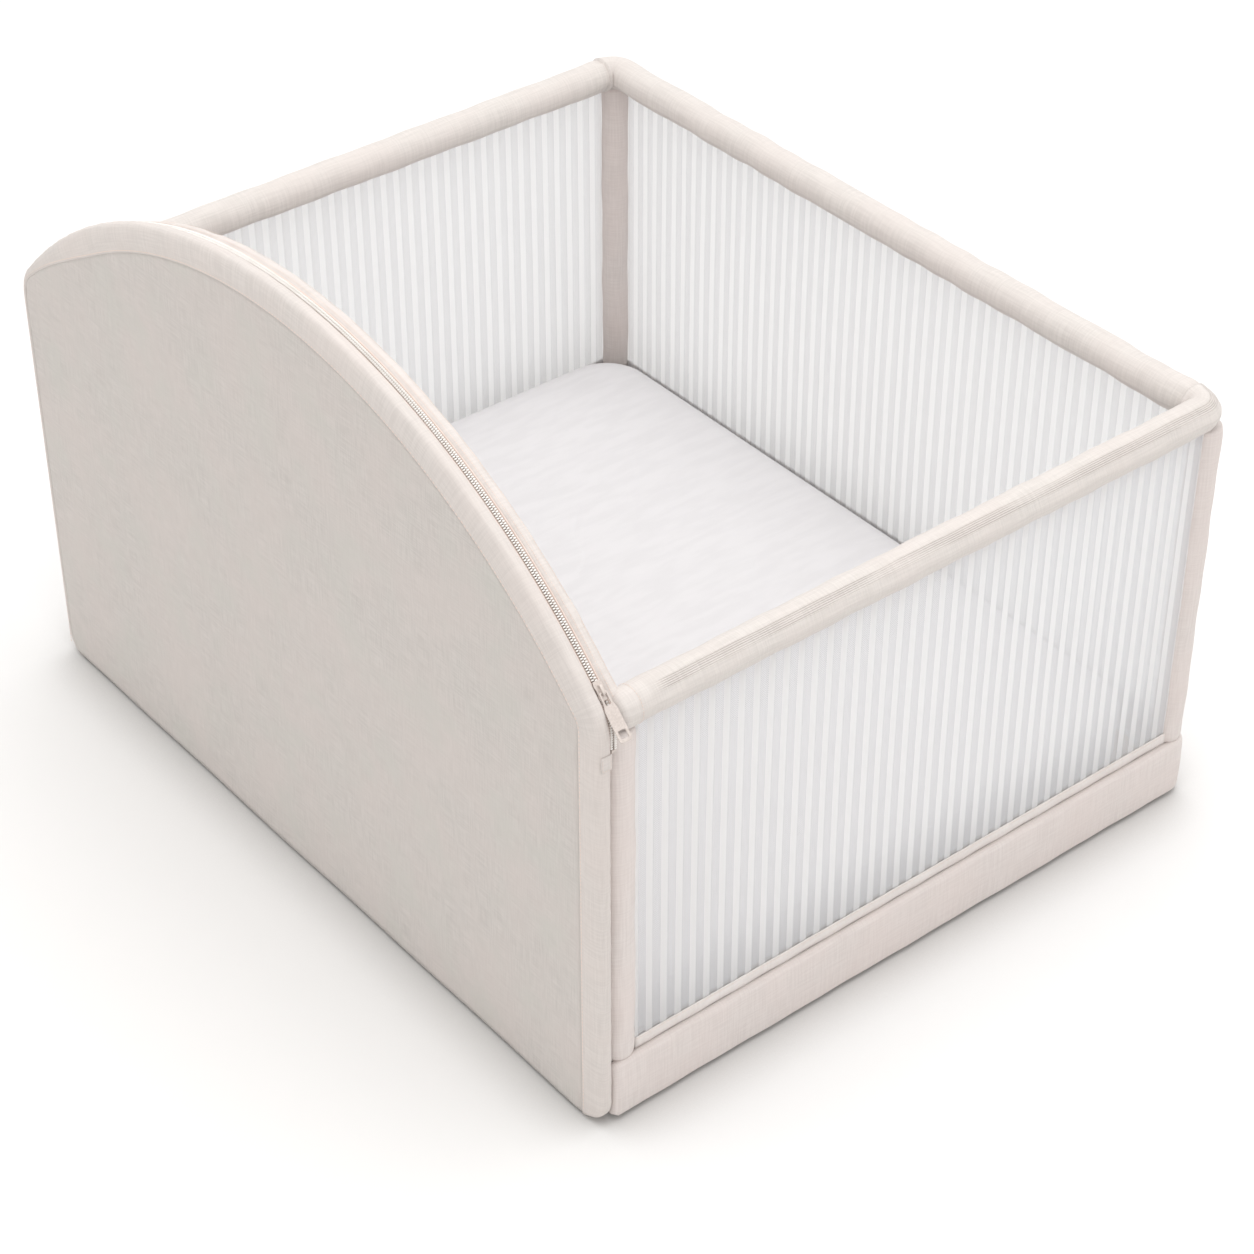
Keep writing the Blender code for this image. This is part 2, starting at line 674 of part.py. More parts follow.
def make_mattress():
    low = (LEFT_X + ARCH_SLEEVE_RADIUS + MATTRESS_GAP, -POST_Y + RAIL_SLEEVE_RADIUS + MATTRESS_GAP)
    high = (RIGHT_X - RAIL_SLEEVE_RADIUS - MATTRESS_GAP, POST_Y - RAIL_SLEEVE_RADIUS - MATTRESS_GAP)
    bottom = BOARD_Z + BOARD_THICKNESS + TOUCH
    inside = MATTRESS_WALL + TOUCH

    def layer(name, z0, z1, inset, finish):
        corner_low = (low[0] + inset, low[1] + inset)
        corner_high = (high[0] - inset, high[1] - inset)
        outline = rounded_rectangle(corner_low, corner_high, MATTRESS_CORNER - inset)
        return slab(name, outline, "Z", (z0 + z1) / 2, z1 - z0, finish)

    layer("mattress_base", bottom, bottom + MATTRESS_BASE, inside, BOARD)
    layer("mattress_foam", bottom + MATTRESS_BASE + TOUCH, MATTRESS_TOP - inside, inside, FOAM)
    cover = to_mesh(layer("mattress_cover", bottom, MATTRESS_TOP, 0, QUILT))
    hollow_part = to_mesh(
        layer("mattress_hollow", bottom - MATTRESS_WALL, MATTRESS_TOP - MATTRESS_WALL, MATTRESS_WALL, QUILT)
    )
    cut = cover.modifiers.new("hollow", "BOOLEAN")
    cut.operation = "DIFFERENCE"
    cut.object = hollow_part
    cutter(hollow_part)


clear_scene()
PARTS = make_collection("playpen")
CUTTERS = make_collection("cutters")
make_tube_frame()
make_arch()
make_blocks()
make_sleeves()
make_band()
make_walls()
make_side()
make_zip()
make_slider()
make_floor()
make_mattress()
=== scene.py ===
# A baby's playpen: padded rails and posts, striped mesh walls, a quilted mattress and one arched zip-on side.
# Metres throughout; X runs from the arched side (-X) to the mesh side, Y along the arched side, Z up.
import math

import bmesh
import bpy
import numpy as np
from mathutils import Matrix, Vector


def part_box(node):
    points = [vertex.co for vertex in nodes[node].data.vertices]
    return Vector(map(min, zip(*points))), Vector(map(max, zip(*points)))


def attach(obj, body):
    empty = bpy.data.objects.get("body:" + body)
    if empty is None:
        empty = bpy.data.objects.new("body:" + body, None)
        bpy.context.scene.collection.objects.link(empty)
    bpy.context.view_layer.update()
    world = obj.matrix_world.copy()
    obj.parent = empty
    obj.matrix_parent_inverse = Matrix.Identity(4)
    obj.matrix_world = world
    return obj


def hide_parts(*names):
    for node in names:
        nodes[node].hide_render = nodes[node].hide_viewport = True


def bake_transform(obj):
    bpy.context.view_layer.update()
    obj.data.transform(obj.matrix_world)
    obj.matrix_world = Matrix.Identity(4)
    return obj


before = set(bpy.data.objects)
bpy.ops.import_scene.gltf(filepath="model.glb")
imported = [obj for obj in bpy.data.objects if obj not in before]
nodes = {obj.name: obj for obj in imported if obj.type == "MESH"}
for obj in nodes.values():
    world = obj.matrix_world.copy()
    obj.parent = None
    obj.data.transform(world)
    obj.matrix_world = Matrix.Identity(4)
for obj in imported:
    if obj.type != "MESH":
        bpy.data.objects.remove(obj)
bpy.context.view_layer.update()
print("frame loaded")


# Sizes read from the frame
def middle(node):
    low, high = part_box(node)
    return (low + high) / 2


sideLow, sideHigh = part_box("panel_border")
bandLow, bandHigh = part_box("base_band_front")
archInset = 0.022
cornerRadius = 0.060
halfLength = sideHigh.y
panelOut, panelIn = sideLow.x, sideHigh.x
panelBottom, archTop = sideLow.z, sideHigh.z
railX, railZ = middle("rail_sleeve_right").x, middle("rail_sleeve_right").z
postY = middle("rail_sleeve_back").y
leftX = middle("foot_front_left").x
archRise = archTop - archInset - railZ
lineRadius = (postY**2 + archRise**2) / (2 * archRise)
archRadius = lineRadius + archInset
archCentre = archTop - archRadius
filletY = halfLength - cornerRadius
filletAngle = math.asin(filletY / (archRadius - cornerRadius))
filletZ = archCentre + (archRadius - cornerRadius) * math.cos(filletAngle)
zipX = middle("zip_stop_front").x
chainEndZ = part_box("zip_stop_front")[1].z
bandTop, bandBottom = bandHigh.z, bandLow.z
halfWidth = bandHigh.x


# Shader maths written as expressions on sockets
class Value:
    def __init__(self, tree, socket):
        self.tree = tree
        self.socket = socket

    def maths(self, operation, *items):
        made = self.tree.nodes.new("ShaderNodeMath")
        made.operation = operation
        for place, item in zip(made.inputs, items):
            if isinstance(item, Value):
                self.tree.links.new(item.socket, place)
            else:
                place.default_value = item
        return Value(self.tree, made.outputs[0])

    def __add__(self, other):
        return self.maths("ADD", self, other)

    def __sub__(self, other):
        return self.maths("SUBTRACT", self, other)

    def __rsub__(self, other):
        return self.maths("SUBTRACT", other, self)

    def __mul__(self, other):
        return self.maths("MULTIPLY", self, other)

    __radd__ = __add__
    __rmul__ = __mul__

    def sine(self):
        return self.maths("SINE", self)

    def size(self):
        return self.maths("ABSOLUTE", self)

    def ramp(self, low, high):
        # 0 below low, 1 above high, smooth between
        made = self.tree.nodes.new("ShaderNodeMapRange")
        made.interpolation_type = "SMOOTHSTEP"
        self.tree.links.new(self.socket, made.inputs[0])
        made.inputs[1].default_value = low
        made.inputs[2].default_value = high
        return Value(self.tree, made.outputs[0])


class Finish:
    def __init__(self, name, **fixed):
        self.material = bpy.data.materials.new(name)
        self.material.use_nodes = True
        self.tree = self.material.node_tree
        self.shader = self.tree.nodes["Principled BSDF"]
        for socket, value in fixed.items():
            self.shader.inputs[socket.replace("_", " ")].default_value = value

    def node(self, kind, settings=None, out=0, **inputs):
        made = self.tree.nodes.new(kind)
        for key, value in (settings or {}).items():
            setattr(made, key, value)
        for key, value in inputs.items():
            place = made.inputs[int(key[1:])] if key[0] == "n" and key[1:].isdigit() else made.inputs[key]
            if isinstance(value, Value):
                self.tree.links.new(value.socket, place)
            else:
                place.default_value = value
        return Value(self.tree, made.outputs[out])

    def feed(self, socket, value):
        self.tree.links.new(value.socket, self.shader.inputs[socket])

    def cloth(self):
        # Lengthwise and crosswise place on a sewn piece, in metres
        place = self.node("ShaderNodeUVMap", {"uv_map": "cloth"})
        return (self.node("ShaderNodeSeparateXYZ", out=k, n0=place) for k in (0, 1))

    def solid(self):
        place = self.node("ShaderNodeTexCoord", out=3)
        return tuple(self.node("ShaderNodeSeparateXYZ", out=k, n0=place) for k in (0, 1, 2))

    def noise(self, x, y, z=0.0, detail=3.0, scale=1.0):
        place = self.node("ShaderNodeCombineXYZ", n0=x, n1=y, n2=z)
        return self.node("ShaderNodeTexNoise", Vector=place, Scale=scale, Detail=detail)

    def blend(self, amount, first, second):
        return self.node("ShaderNodeMix", {"data_type": "RGBA"}, out=2, n0=amount, n6=first, n7=second)

    def bump(self, height, distance, strength=1.0):
        self.feed("Normal", self.node("ShaderNodeBump", Height=height, Distance=distance, Strength=strength))


def colour(red, green, blue):
    # From display values to scene values
    def lift(value):
        value /= 255
        return value / 12.92 if value <= 0.04045 else ((value + 0.055) / 1.055) ** 2.4

    return (lift(red), lift(green), lift(blue), 1.0)


def threads(along, across, pitch):
    # Over-and-under plain weave: each thread is a half round, and the two directions take turns on top
    warp = (along * (math.pi / pitch)).sine()
    weft = (across * (math.pi / pitch)).sine()
    onTop = (warp * weft).ramp(-0.25, 0.25)
    return warp.size() * onTop + weft.size() * (1 - onTop)


def linenFinish(name, settings):
    finish = Finish(name, Roughness=0.92, Sheen_Weight=0.12, Sheen_Roughness=0.5, Specular_IOR_Level=0.25)
    along, across = finish.cloth()
    weave = threads(along, across, settings["thread"])
    long, short = settings["slubLength"], settings["slubWidth"]
    lengthwise = finish.noise(along * (1 / long), across * (1 / short), detail=2.0)
    crosswise = finish.noise(along * (1 / short), across * (1 / long), 7.0, detail=2.0)
    patches = finish.noise(along * 9.0, across * 9.0, 3.0, detail=3.0)
    slubs = (lengthwise + crosswise) * 0.5
    tone = finish.blend(slubs.ramp(0.36, 0.64), settings["dark"], settings["light"])
    tone = finish.blend(patches.ramp(0.3, 0.7) * settings["patchy"], tone, settings["warm"])
    if settings.get("cool"):
        cooler = finish.noise(along * 13.0, across * 13.0, 11.0, detail=3.0).ramp(0.45, 0.72)
        tone = finish.blend(cooler * 0.5, tone, settings["cool"])
    # The weave is painted darker where the threads dip under each other: painted shade in the gaps of the weave
    tone = finish.blend((1 - weave) * 0.22, tone, settings["gap"])
    finish.feed("Base Color", tone)
    height = weave * 0.55 + slubs * 0.9
    if settings.get("ribs"):
        # A band of fine lengthwise ribs woven into the upper face of the cloth; the hollows between the ribs are
        # painted dark, which is painted shade
        low, high, start, pitch = settings["ribs"]
        inBand = across.ramp(low, low + 0.0015) * (
            1 - across.ramp(high - 0.0015, high)
        ) * along.ramp(start, start + 0.03)
        ribs = ((across * (2 * math.pi / pitch)).sine() + 1) * 0.5
        # The ribs and their painted shade come and go in patches along the rail
        ribPatches = finish.noise(along * 9.0, across * 90.0, 9.0, detail=1.0).ramp(0.30, 0.55)
        inBand = inBand * (ribPatches * 0.5 + 0.5)
        finish.feed(
            "Base Color",
            finish.blend(inBand * (1 - ribs).ramp(0.62, 1.0) * 0.75, tone, colour(170, 158, 151))
        )
        height = height + ribs * inBand * 2.4
    finish.bump(height, settings["relief"], 0.7)
    return finish.material


# In each cloth below, gap is the colour of the painted shade between the threads of the weave
linen = dict(
    thread=0.0011, slubLength=0.045, slubWidth=0.0022, patchy=0.35, relief=0.00045,
    light=colour(
        223, 217, 212
    ), dark=colour(211, 205, 200), warm=colour(222, 211, 206), gap=colour(178, 170, 165),
)
sideLinen = dict(
    thread=0.0013, slubLength=0.032, slubWidth=0.0017, patchy=0.55, relief=0.00050, cool=colour(
        203, 201, 194
    ),
    light=colour(
        212, 206, 201
    ), dark=colour(197, 191, 186), warm=colour(212, 202, 197), gap=colour(158, 150, 143),
)
hemLinen = dict(linen, light=colour(236, 231, 228), dark=colour(226, 220, 216))
plinthLinen = dict(linen, light=colour(226, 218, 214), dark=colour(216, 207, 203), warm=colour(228, 214, 209))
ribbedLinen = dict(linen, ribs=(0.0140, 0.0284, 0.045, 0.0024))
# A shade lighter than the sleeve linen: painted light, the lit copy first made for the rolled edge, now on the
# lining, the arch sleeve and the hinge
paintedLitLinen = dict(linen, light=colour(225, 218, 213), dark=colour(214, 207, 202))
borderLinen = dict(linen, light=colour(220, 213, 208), dark=colour(210, 203, 198), warm=colour(223, 211, 205))


def quiltFinish():
    finish = Finish("whiteQuilt", Roughness=0.9, Sheen_Weight=0.1, Specular_IOR_Level=0.3)
    along, across = finish.cloth()
    weave = threads(along, across, 0.0009)
    creases = finish.noise(along * 14.0, across * 60.0, 1.0, detail=3.0)
    # The cloth is painted darker in the hollows of the creases and between the threads: painted shade
    tone = finish.blend(creases.ramp(0.35, 0.65), colour(217, 215, 216), colour(221, 219, 220))
    finish.feed("Base Color", finish.blend((1 - weave) * 0.12, tone, colour(212, 210, 211)))
    finish.bump(weave * 0.2 + creases * 0.7, 0.0007, 0.35)
    return finish.material


def netFinish():
    # White warp-knit: close stripes between bands of open net
    knit = dict(
        pitch=0.0212, close=0.45, holeAcross=0.0023, holeUp=0.0029, open=0.40, throughClose=0.50,
        throughNet=0.25
    )
    finish = Finish("stripedMesh", Roughness=0.78, Sheen_Weight=0.1, Specular_IOR_Level=0.3)
    across, up = finish.cloth()
    share = finish.node("ShaderNodeMath", {"operation": "FRACT"}, n0=across * (1 / knit["pitch"]))
    fromMiddle = (share - 0.5).size()
    dense = fromMiddle.ramp(0.5 - knit["close"] / 2 - 0.02, 0.5 - knit["close"] / 2 + 0.02)
    hole = (across * (2 * math.pi / knit["holeAcross"])).sine() * (up * (2 * math.pi / knit["holeUp"])).sine()
    openHole = hole.ramp(knit["open"] - 0.06, knit["open"] + 0.12) * (1 - dense)
    stitches = ((across * (2 * math.pi / 0.0024)).sine() * (up * (2 * math.pi / 0.0019)).sine()).size()
    # The open net is painted darker towards its holes: painted shade at the hole rims
    netTone = finish.blend(hole.ramp(-0.8, 0.3), colour(228, 228, 230), colour(209, 209, 212))
    closeTone = finish.blend(stitches, colour(246, 246, 247), colour(255, 255, 255))
    finish.feed("Base Color", finish.blend(dense, netTone, closeTone))
    finish.feed("Alpha", 1 - openHole * 0.96)
    finish.bump(stitches * dense + (1 - dense) * (0.35 - hole * 0.35), 0.0008, 0.6)
    # Light from behind comes through the yarn, so a wall seen against the light isn't dull
    through = finish.tree.nodes.new("ShaderNodeBsdfTranslucent")
    through.inputs["Color"].default_value = (1, 1, 1, 1)
    both = finish.tree.nodes.new("ShaderNodeMixShader")
    finish.tree.links.new(
        (dense * knit["throughClose"] + (1 - openHole) * (1 - dense) * knit["throughNet"]).socket,
        both.inputs[0]
    )
    finish.tree.links.new(finish.shader.outputs[0], both.inputs[1])
    finish.tree.links.new(through.outputs[0], both.inputs[2])
    finish.tree.links.new(both.outputs[0], finish.tree.nodes["Material Output"].inputs["Surface"])
    return finish.material


def plainFinish(name, light, dark, roughness, grain, relief, metallic=0.0, coat=0.0):
    finish = Finish(name, Metallic=metallic, Coat_Weight=coat)
    x, y, z = finish.solid()
    speck = finish.noise(x * grain, y * grain, z * grain, detail=4.0)
    cloud = finish.noise(x * grain * 0.06, y * grain * 0.06, z * grain * 0.06, detail=2.0)
    finish.feed("Base Color", finish.blend((speck * 0.6 + cloud * 0.4).ramp(0.35, 0.65), dark, light))
    finish.feed("Roughness", roughness + (speck - 0.5) * 0.25)
    finish.bump(speck, relief, 0.6)
    return finish.material


def tapeFinish():
    finish = Finish("zipTape", Roughness=0.88, Specular_IOR_Level=0.25)
    along, across = finish.cloth()
    herring = ((along * 5200.0) + (across * 9000.0).size()).sine()
    finish.feed(
        "Base Color", finish.blend(herring.ramp(-1.0, 1.0), colour(184, 169, 160), colour(208, 195, 187))
    )
    finish.bump(herring, 0.0003, 0.6)
    return finish.material


def threadFinish():
    finish = Finish("stitchThread", Roughness=0.7, Sheen_Weight=0.2)
    x, y, z = finish.solid()
    twist = ((y + z + x) * 5200.0).sine()
    finish.feed(
        "Base Color", finish.blend(twist.ramp(-1.0, 1.0), colour(226, 202, 190), colour(240, 224, 214))
    )
    finish.bump(twist, 0.0001, 0.5)
    return finish.material


cloths = dict(
    linen=linenFinish("linenSleeve", linen),
    side=linenFinish("sideLinen", sideLinen),
    ribbed=linenFinish("ribbedLinen", ribbedLinen),
    plinth=linenFinish("plinthLinen", plinthLinen),
    paintedLit=linenFinish("paintedLitLinen", paintedLitLinen),
    border=linenFinish("borderLinen", borderLinen),
    quilt=quiltFinish(),
    net=netFinish(),
    tape=tapeFinish(),
    thread=threadFinish(),
    piping=plainFinish("pipingCord", colour(233, 216, 207), colour(222, 202, 192), 0.85, 900.0, 0.0001),
    hem=linenFinish("hemLinen", hemLinen),
    teeth=plainFinish("zipTeeth", colour(251, 249, 246), colour(240, 236, 231), 0.4, 900.0, 0.00005),
    metal=plainFinish(
        "zipMetal", colour(212, 201, 194), colour(196, 185, 178), 0.34, 500.0, 0.00004, coat=0.25
    ),
    steel=plainFinish(
        "paintedSteel", colour(206, 203, 199), colour(188, 185, 181), 0.42, 260.0, 0.00008, coat=0.2
    ),
    nylon=plainFinish("mouldedNylon", colour(205, 199, 192), colour(192, 186, 179), 0.5, 400.0, 0.0001),
    rubber=plainFinish("rubberFoot", colour(70, 69, 68), colour(52, 51, 50), 0.8, 500.0, 0.0002),
    board=plainFinish("fibreBoard", colour(178, 152, 122), colour(148, 122, 94), 0.85, 300.0, 0.0003),
    foam=plainFinish("seatFoam", colour(236, 233, 222), colour(222, 218, 204), 0.95, 420.0, 0.0006),
)
print("finishes ready")


# Mesh makers
def addPiece(name, points, faces, cloth, body, uv=None, outward=True, smooth=True):
    mesh = bpy.data.meshes.new(name)
    mesh.from_pydata(np.asarray(points, float).tolist(), [], faces)
    if uv is not None:
        layer = mesh.uv_layers.new(name="cloth")
        layer.data.foreach_set("uv", np.asarray(uv, np.float32).ravel())
    if outward:
        work = bmesh.new()
        work.from_mesh(mesh)
        bmesh.ops.recalc_face_normals(work, faces=work.faces)
        work.to_mesh(mesh)
        work.free()
    if smooth:
        mesh.shade_smooth()
    mesh.materials.append(cloth)
    piece = bpy.data.objects.new(name, mesh)
    bpy.context.scene.collection.objects.link(piece)
    if body:
        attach(piece, body)
    return piece


def gridFaces(rows, columns, wrap, start=0, flip=False):
    i, j = np.meshgrid(np.arange(rows - 1), np.arange(columns if wrap else columns - 1), indexing="ij")
    i, j = i.ravel(), j.ravel()
    nextJ = (j + 1) % columns
    quads = np.stack(
        [i * columns + j, (i + 1) * columns + j, (i + 1) * columns + nextJ, i * columns + nextJ], 1
    )
    corners = np.stack(
        [np.stack([i, j], 1), np.stack([i + 1, j], 1), np.stack([i + 1, j + 1], 1), np.stack([i, j + 1], 1)],
        1
    )
    if flip:
        quads, corners = quads[:, ::-1], corners[:, ::-1]
    return quads + start, corners


def makeTube(name, rings, along, around, cloth, body):
    # rings is (steps, sides, 3); both ends close with a small face
    steps, sides = rings.shape[:2]
    quads, corners = gridFaces(steps, sides, True)
    uvAll = np.stack(np.broadcast_arrays(along[:, None], around[None, :]), 2)
    uv = uvAll[corners[..., 0], corners[..., 1]].reshape(-1, 2)
    faces = quads.tolist() + [list(range(sides))[::-1], list(range((steps - 1) * sides, steps * sides))]
    caps = np.concatenate([uvAll[0, :sides][::-1], uvAll[-1, :sides]])
    return addPiece(name, rings.reshape(-1, 3), faces, cloth, body, np.concatenate([uv, caps]))


def makeSlab(name, front, back, uvGrid, cloth, body):
    # Two grids of the same shape joined round their rims
    rows, columns = front.shape[:2]
    count = rows * columns
    near, corners = gridFaces(rows, columns, False)
    far, _ = gridFaces(rows, columns, False, count, True)
    rim = [(0, j) for j in range(columns)] + [(i, columns - 1) for i in range(1, rows)]
    rim += [(rows - 1, j) for j in range(columns - 2, -1, -1)] + [(i, 0) for i in range(rows - 2, 0, -1)]
    sides, sideUv = [], []
    for (a, b), (c, d) in zip(rim, rim[1:] + rim[:1]):
        first, second = a * columns + b, c * columns + d
        sides.append([first, second, second + count, first + count])
        sideUv += [uvGrid[a, b], uvGrid[c, d], uvGrid[c, d], uvGrid[a, b]]
    uv = np.concatenate([
        uvGrid[corners[..., 0], corners[..., 1]].reshape(-1, 2),
        uvGrid[corners[:, ::-1, 0], corners[:, ::-1, 1]].reshape(-1, 2),
        np.array(sideUv),
    ])
    points = np.concatenate([front.reshape(-1, 3), back.reshape(-1, 3)])
    return addPiece(name, points, near.tolist() + far.tolist() + sides, cloth, body, uv)


def framesAlong(path, reference):
    # Tangent, side and rise at each point of a path
    tangent = np.gradient(path, axis=0)
    tangent /= np.linalg.norm(tangent, axis=1)[:, None]
    side = np.cross(tangent, reference)
    side /= np.linalg.norm(side, axis=1)[:, None]
    rise = np.cross(side, tangent)
    return tangent, side, rise


def lengthAlong(path):
    steps = np.linalg.norm(np.diff(path, axis=0), axis=1)
    return np.concatenate([[0], np.cumsum(steps)])


def evenly(path, spacing):
    path = np.asarray(path, float)
    length = lengthAlong(path)
    places = np.linspace(0, length[-1], max(2, int(round(length[-1] / spacing)) + 1))
    return np.stack([np.interp(places, length, path[:, k]) for k in range(3)], 1)


def bend(corner, before, after, radius, steps=12):
    # Quarter turn at a corner between two directions
    corner, before, after = (np.array(v, float) for v in (corner, before, after))
    centre = corner - before * radius + after * radius
    turns = np.linspace(0, math.pi / 2, steps)
    return [centre - after * radius * math.cos(t) + before * radius * math.sin(t) for t in turns]


def sweepSleeve(
    name, path, radius, cloth, body, sides=40, reference=(0, 0, 1), ends=(0, 0), shape=None,
    stretch=(1, 1)
):
    # A padded sleeve: rounded over ends[k] metres at each end, shape(distance, angle) adds to its radius
    _, side, rise = framesAlong(path, np.array(reference, float))
    distance = lengthAlong(path)
    total = distance[-1]
    angle = np.linspace(0, 2 * math.pi, sides, endpoint=False)
    wide = np.full((len(path), sides), float(radius))
    if shape:
        wide += shape(distance[:, None], angle[None, :], total)
    for reach, gone in ((ends[0], distance), (ends[1], total - distance)):
        if reach:
            inside = np.clip(1 - gone / reach, 0, 0.995)
            wide *= np.sqrt(1 - inside**2)[:, None]
    rings = (
        path[:, None, :]
        + side[:, None, :] * (wide * np.cos(angle) * stretch[0])[..., None]
        + rise[:, None, :] * (wide * np.sin(angle) * stretch[1])[..., None]
    )
    around = np.linspace(0, 2 * math.pi * radius, sides + 1)
    return makeTube(name, rings, distance, around, cloth, body)


def gather(distance, angle, at, reach, depth, folds, turn=0.0):
    # Soft folds drawn in by a seam, fading with distance from it
    near = np.exp(-np.abs(distance - at) / reach)
    wave = np.cos(folds * angle + turn) * 0.6 + np.cos((folds * 2 - 3) * angle + 1.3 + turn) * 0.4
    return depth * near * wave


def seamRidge(angle, at, width, height):
    # The felled seam that runs the length of a sleeve
    off = np.angle(np.exp(1j * (angle - at)))
    ridge = np.exp(-((off / width) ** 2)) * height
    dip = np.exp(-(((off - 2.1 * width) / (0.8 * width)) ** 2)) * height * 0.8
    return ridge - dip


def stitchRow(
    name, path, outward, body, length=0.0040, gap=0.0014, thick=0.0006,
    cloth="thread"
):
    # One short rounded stitch after another along a path; outward is the cloth's face direction at each point
    fine = evenly(np.asarray(path, float), 0.0008)
    distance = lengthAlong(fine)
    outs = np.broadcast_to(
        np.asarray(outward, float), np.asarray(path).shape
    ) if np.ndim(outward) == 1 else np.asarray(outward, float)
    outLength = lengthAlong(np.asarray(path, float))
    starts = np.arange(0.002, distance[-1] - length, length + gap)
    profile = ((0.0, 0.25), (0.12, 0.8), (0.5, 1.0), (0.88, 0.8), (1.0, 0.25))
    around = np.linspace(0, 2 * math.pi, 6, endpoint=False)
    points, faces = [], []
    for begin in starts:
        first = len(points)
        for share, fat in profile:
            at = begin + share * length
            centre = np.array([np.interp(at, distance, fine[:, k]) for k in range(3)])
            ahead = np.array([np.interp(at + 0.0008, distance, fine[:, k]) for k in range(3)]) - centre
            ahead /= np.linalg.norm(ahead) + 1e-12
            up = np.array([np.interp(at, outLength, outs[:, k]) for k in range(3)])
            up /= np.linalg.norm(up)
            wing = np.cross(ahead, up)
            lift = thick * (fat - 0.75)
            for turn in around:
                points.append(
                    centre
                    + up * (lift + thick * fat * math.sin(turn) * 0.8)
                    + wing * thick * fat * math.cos(turn) * 1.15
                )
        for ring in range(len(profile) - 1):
            for k in range(6):
                a, b = first + ring * 6 + k, first + ring * 6 + (k + 1) % 6
                faces.append([a, b, b + 6, a + 6])
        faces += [list(range(first, first + 6))[::-1], list(range(first + 24, first + 30))]
    return addPiece(name, points, faces, cloths[cloth], body)


# The arched outline
def archPoint(inset, angle):
    radius = archRadius - inset
    return -radius * math.sin(angle), archCentre + radius * math.cos(angle)


def cornerPoint(inset, angle):
    radius = cornerRadius - inset
    return -filletY - radius * math.sin(angle), filletZ + radius * math.cos(angle)


def outlinePath(inset, x, bottom, spacing=0.006, back=True):
    # Front foot, round the front corner, over the arch, and down to the back foot, with the outward direction
    front, outs = [(-halfLength + inset, bottom)], [(-1.0, 0.0)]
    for turn in np.linspace(math.pi / 2, filletAngle, 14):
        front.append(cornerPoint(inset, turn))
        outs.append((-math.sin(turn), math.cos(turn)))
    for turn in np.linspace(filletAngle, 0, 90)[1:]:
        front.append(archPoint(inset, turn))
        outs.append((-math.sin(turn), math.cos(turn)))
    if back:
        front += [(-y, z) for y, z in front[-2::-1]]
        outs += [(-y, z) for y, z in outs[-2::-1]]
    points = np.array([(x, y, z) for y, z in front])
    ways = np.array([(0, y, z) for y, z in outs])
    length = lengthAlong(points)
    places = np.linspace(0, length[-1], int(length[-1] / spacing) + 1)
    points = np.stack([np.interp(places, length, points[:, k]) for k in range(3)], 1)
    ways = np.stack([np.interp(places, length, ways[:, k]) for k in range(3)], 1)
    return points, ways / np.linalg.norm(ways, axis=1)[:, None]


# Arched side
sidePanel = dict(border=0.035, backBorder=0.0085, taper=0.20, crown=0.0007, coverX=0.0010, footRound=0.034)


def borderWidth(path):
    # Full width up the front and over the arch, turned almost under down the back upright
    distance = lengthAlong(path)
    corner = distance[np.argmax((path[:, 1] > filletY) & (path[:, 2] < filletZ + cornerRadius))]
    share = np.clip((distance - corner + sidePanel["taper"]) / (sidePanel["taper"] + 0.09), 0, 1)
    return sidePanel["border"] + (
        sidePanel["backBorder"] - sidePanel["border"]
    ) * share * share * (3 - 2 * share)


def sideSeam(tuck=0.0):
    path, outs = outlinePath(0, 0, panelBottom, 0.005)
    return path - outs * (borderWidth(path) - tuck)[:, None], outs


def footPull(z):
    # How far the lower corners draw in towards the floor
    rise = np.clip((z - panelBottom) / sidePanel["footRound"], 0, 1)
    return sidePanel["footRound"] * (1 - np.sqrt(1 - (1 - rise) ** 2)) * 0.7


def makeSideFace(name, surfaceX, deepX, crown, cloth, slotName, *hidden):
    seam, _ = sideSeam(0.0012)
    rising = np.concatenate([[True], np.diff(seam[:, 1]) > 1e-5])
    first, last = seam[:, 1].min(), seam[:, 1].max()
    y = np.linspace(first, last, 200)
    topZ = np.interp(y, seam[rising, 1], seam[rising, 2])
    topZ[0] = topZ[1] - 0.004
    t = np.linspace(0, 1, 110)
    bottom = panelBottom + 0.0005
    z = bottom + (topZ[:, None] - bottom) * t[None, :]
    edge = np.minimum(np.minimum(y - first, last - y)[:, None], (topZ[:, None] - z) * 0.9)
    swell = 1 - np.exp(-np.maximum(edge, 0) / 0.007)
    wander = 0.0004 * np.sin(y[:, None] * 21 + z * 13) + 0.0003 * np.sin(y[:, None] * 9 - z * 29 + 1)
    way = math.copysign(1, deepX - surfaceX)
    back = np.maximum(y, 0)[:, None] / last
    across = y[:, None] - footPull(z) * back**20
    front = np.stack([surfaceX - way * (crown + wander) * swell, across, z], 2)
    back = np.stack([np.full(z.shape, deepX), across, z], 2)
    piece = makeSlab(name, front, back, np.stack([z, across], 2), cloth, "side")
    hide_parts(*hidden)
    return piece


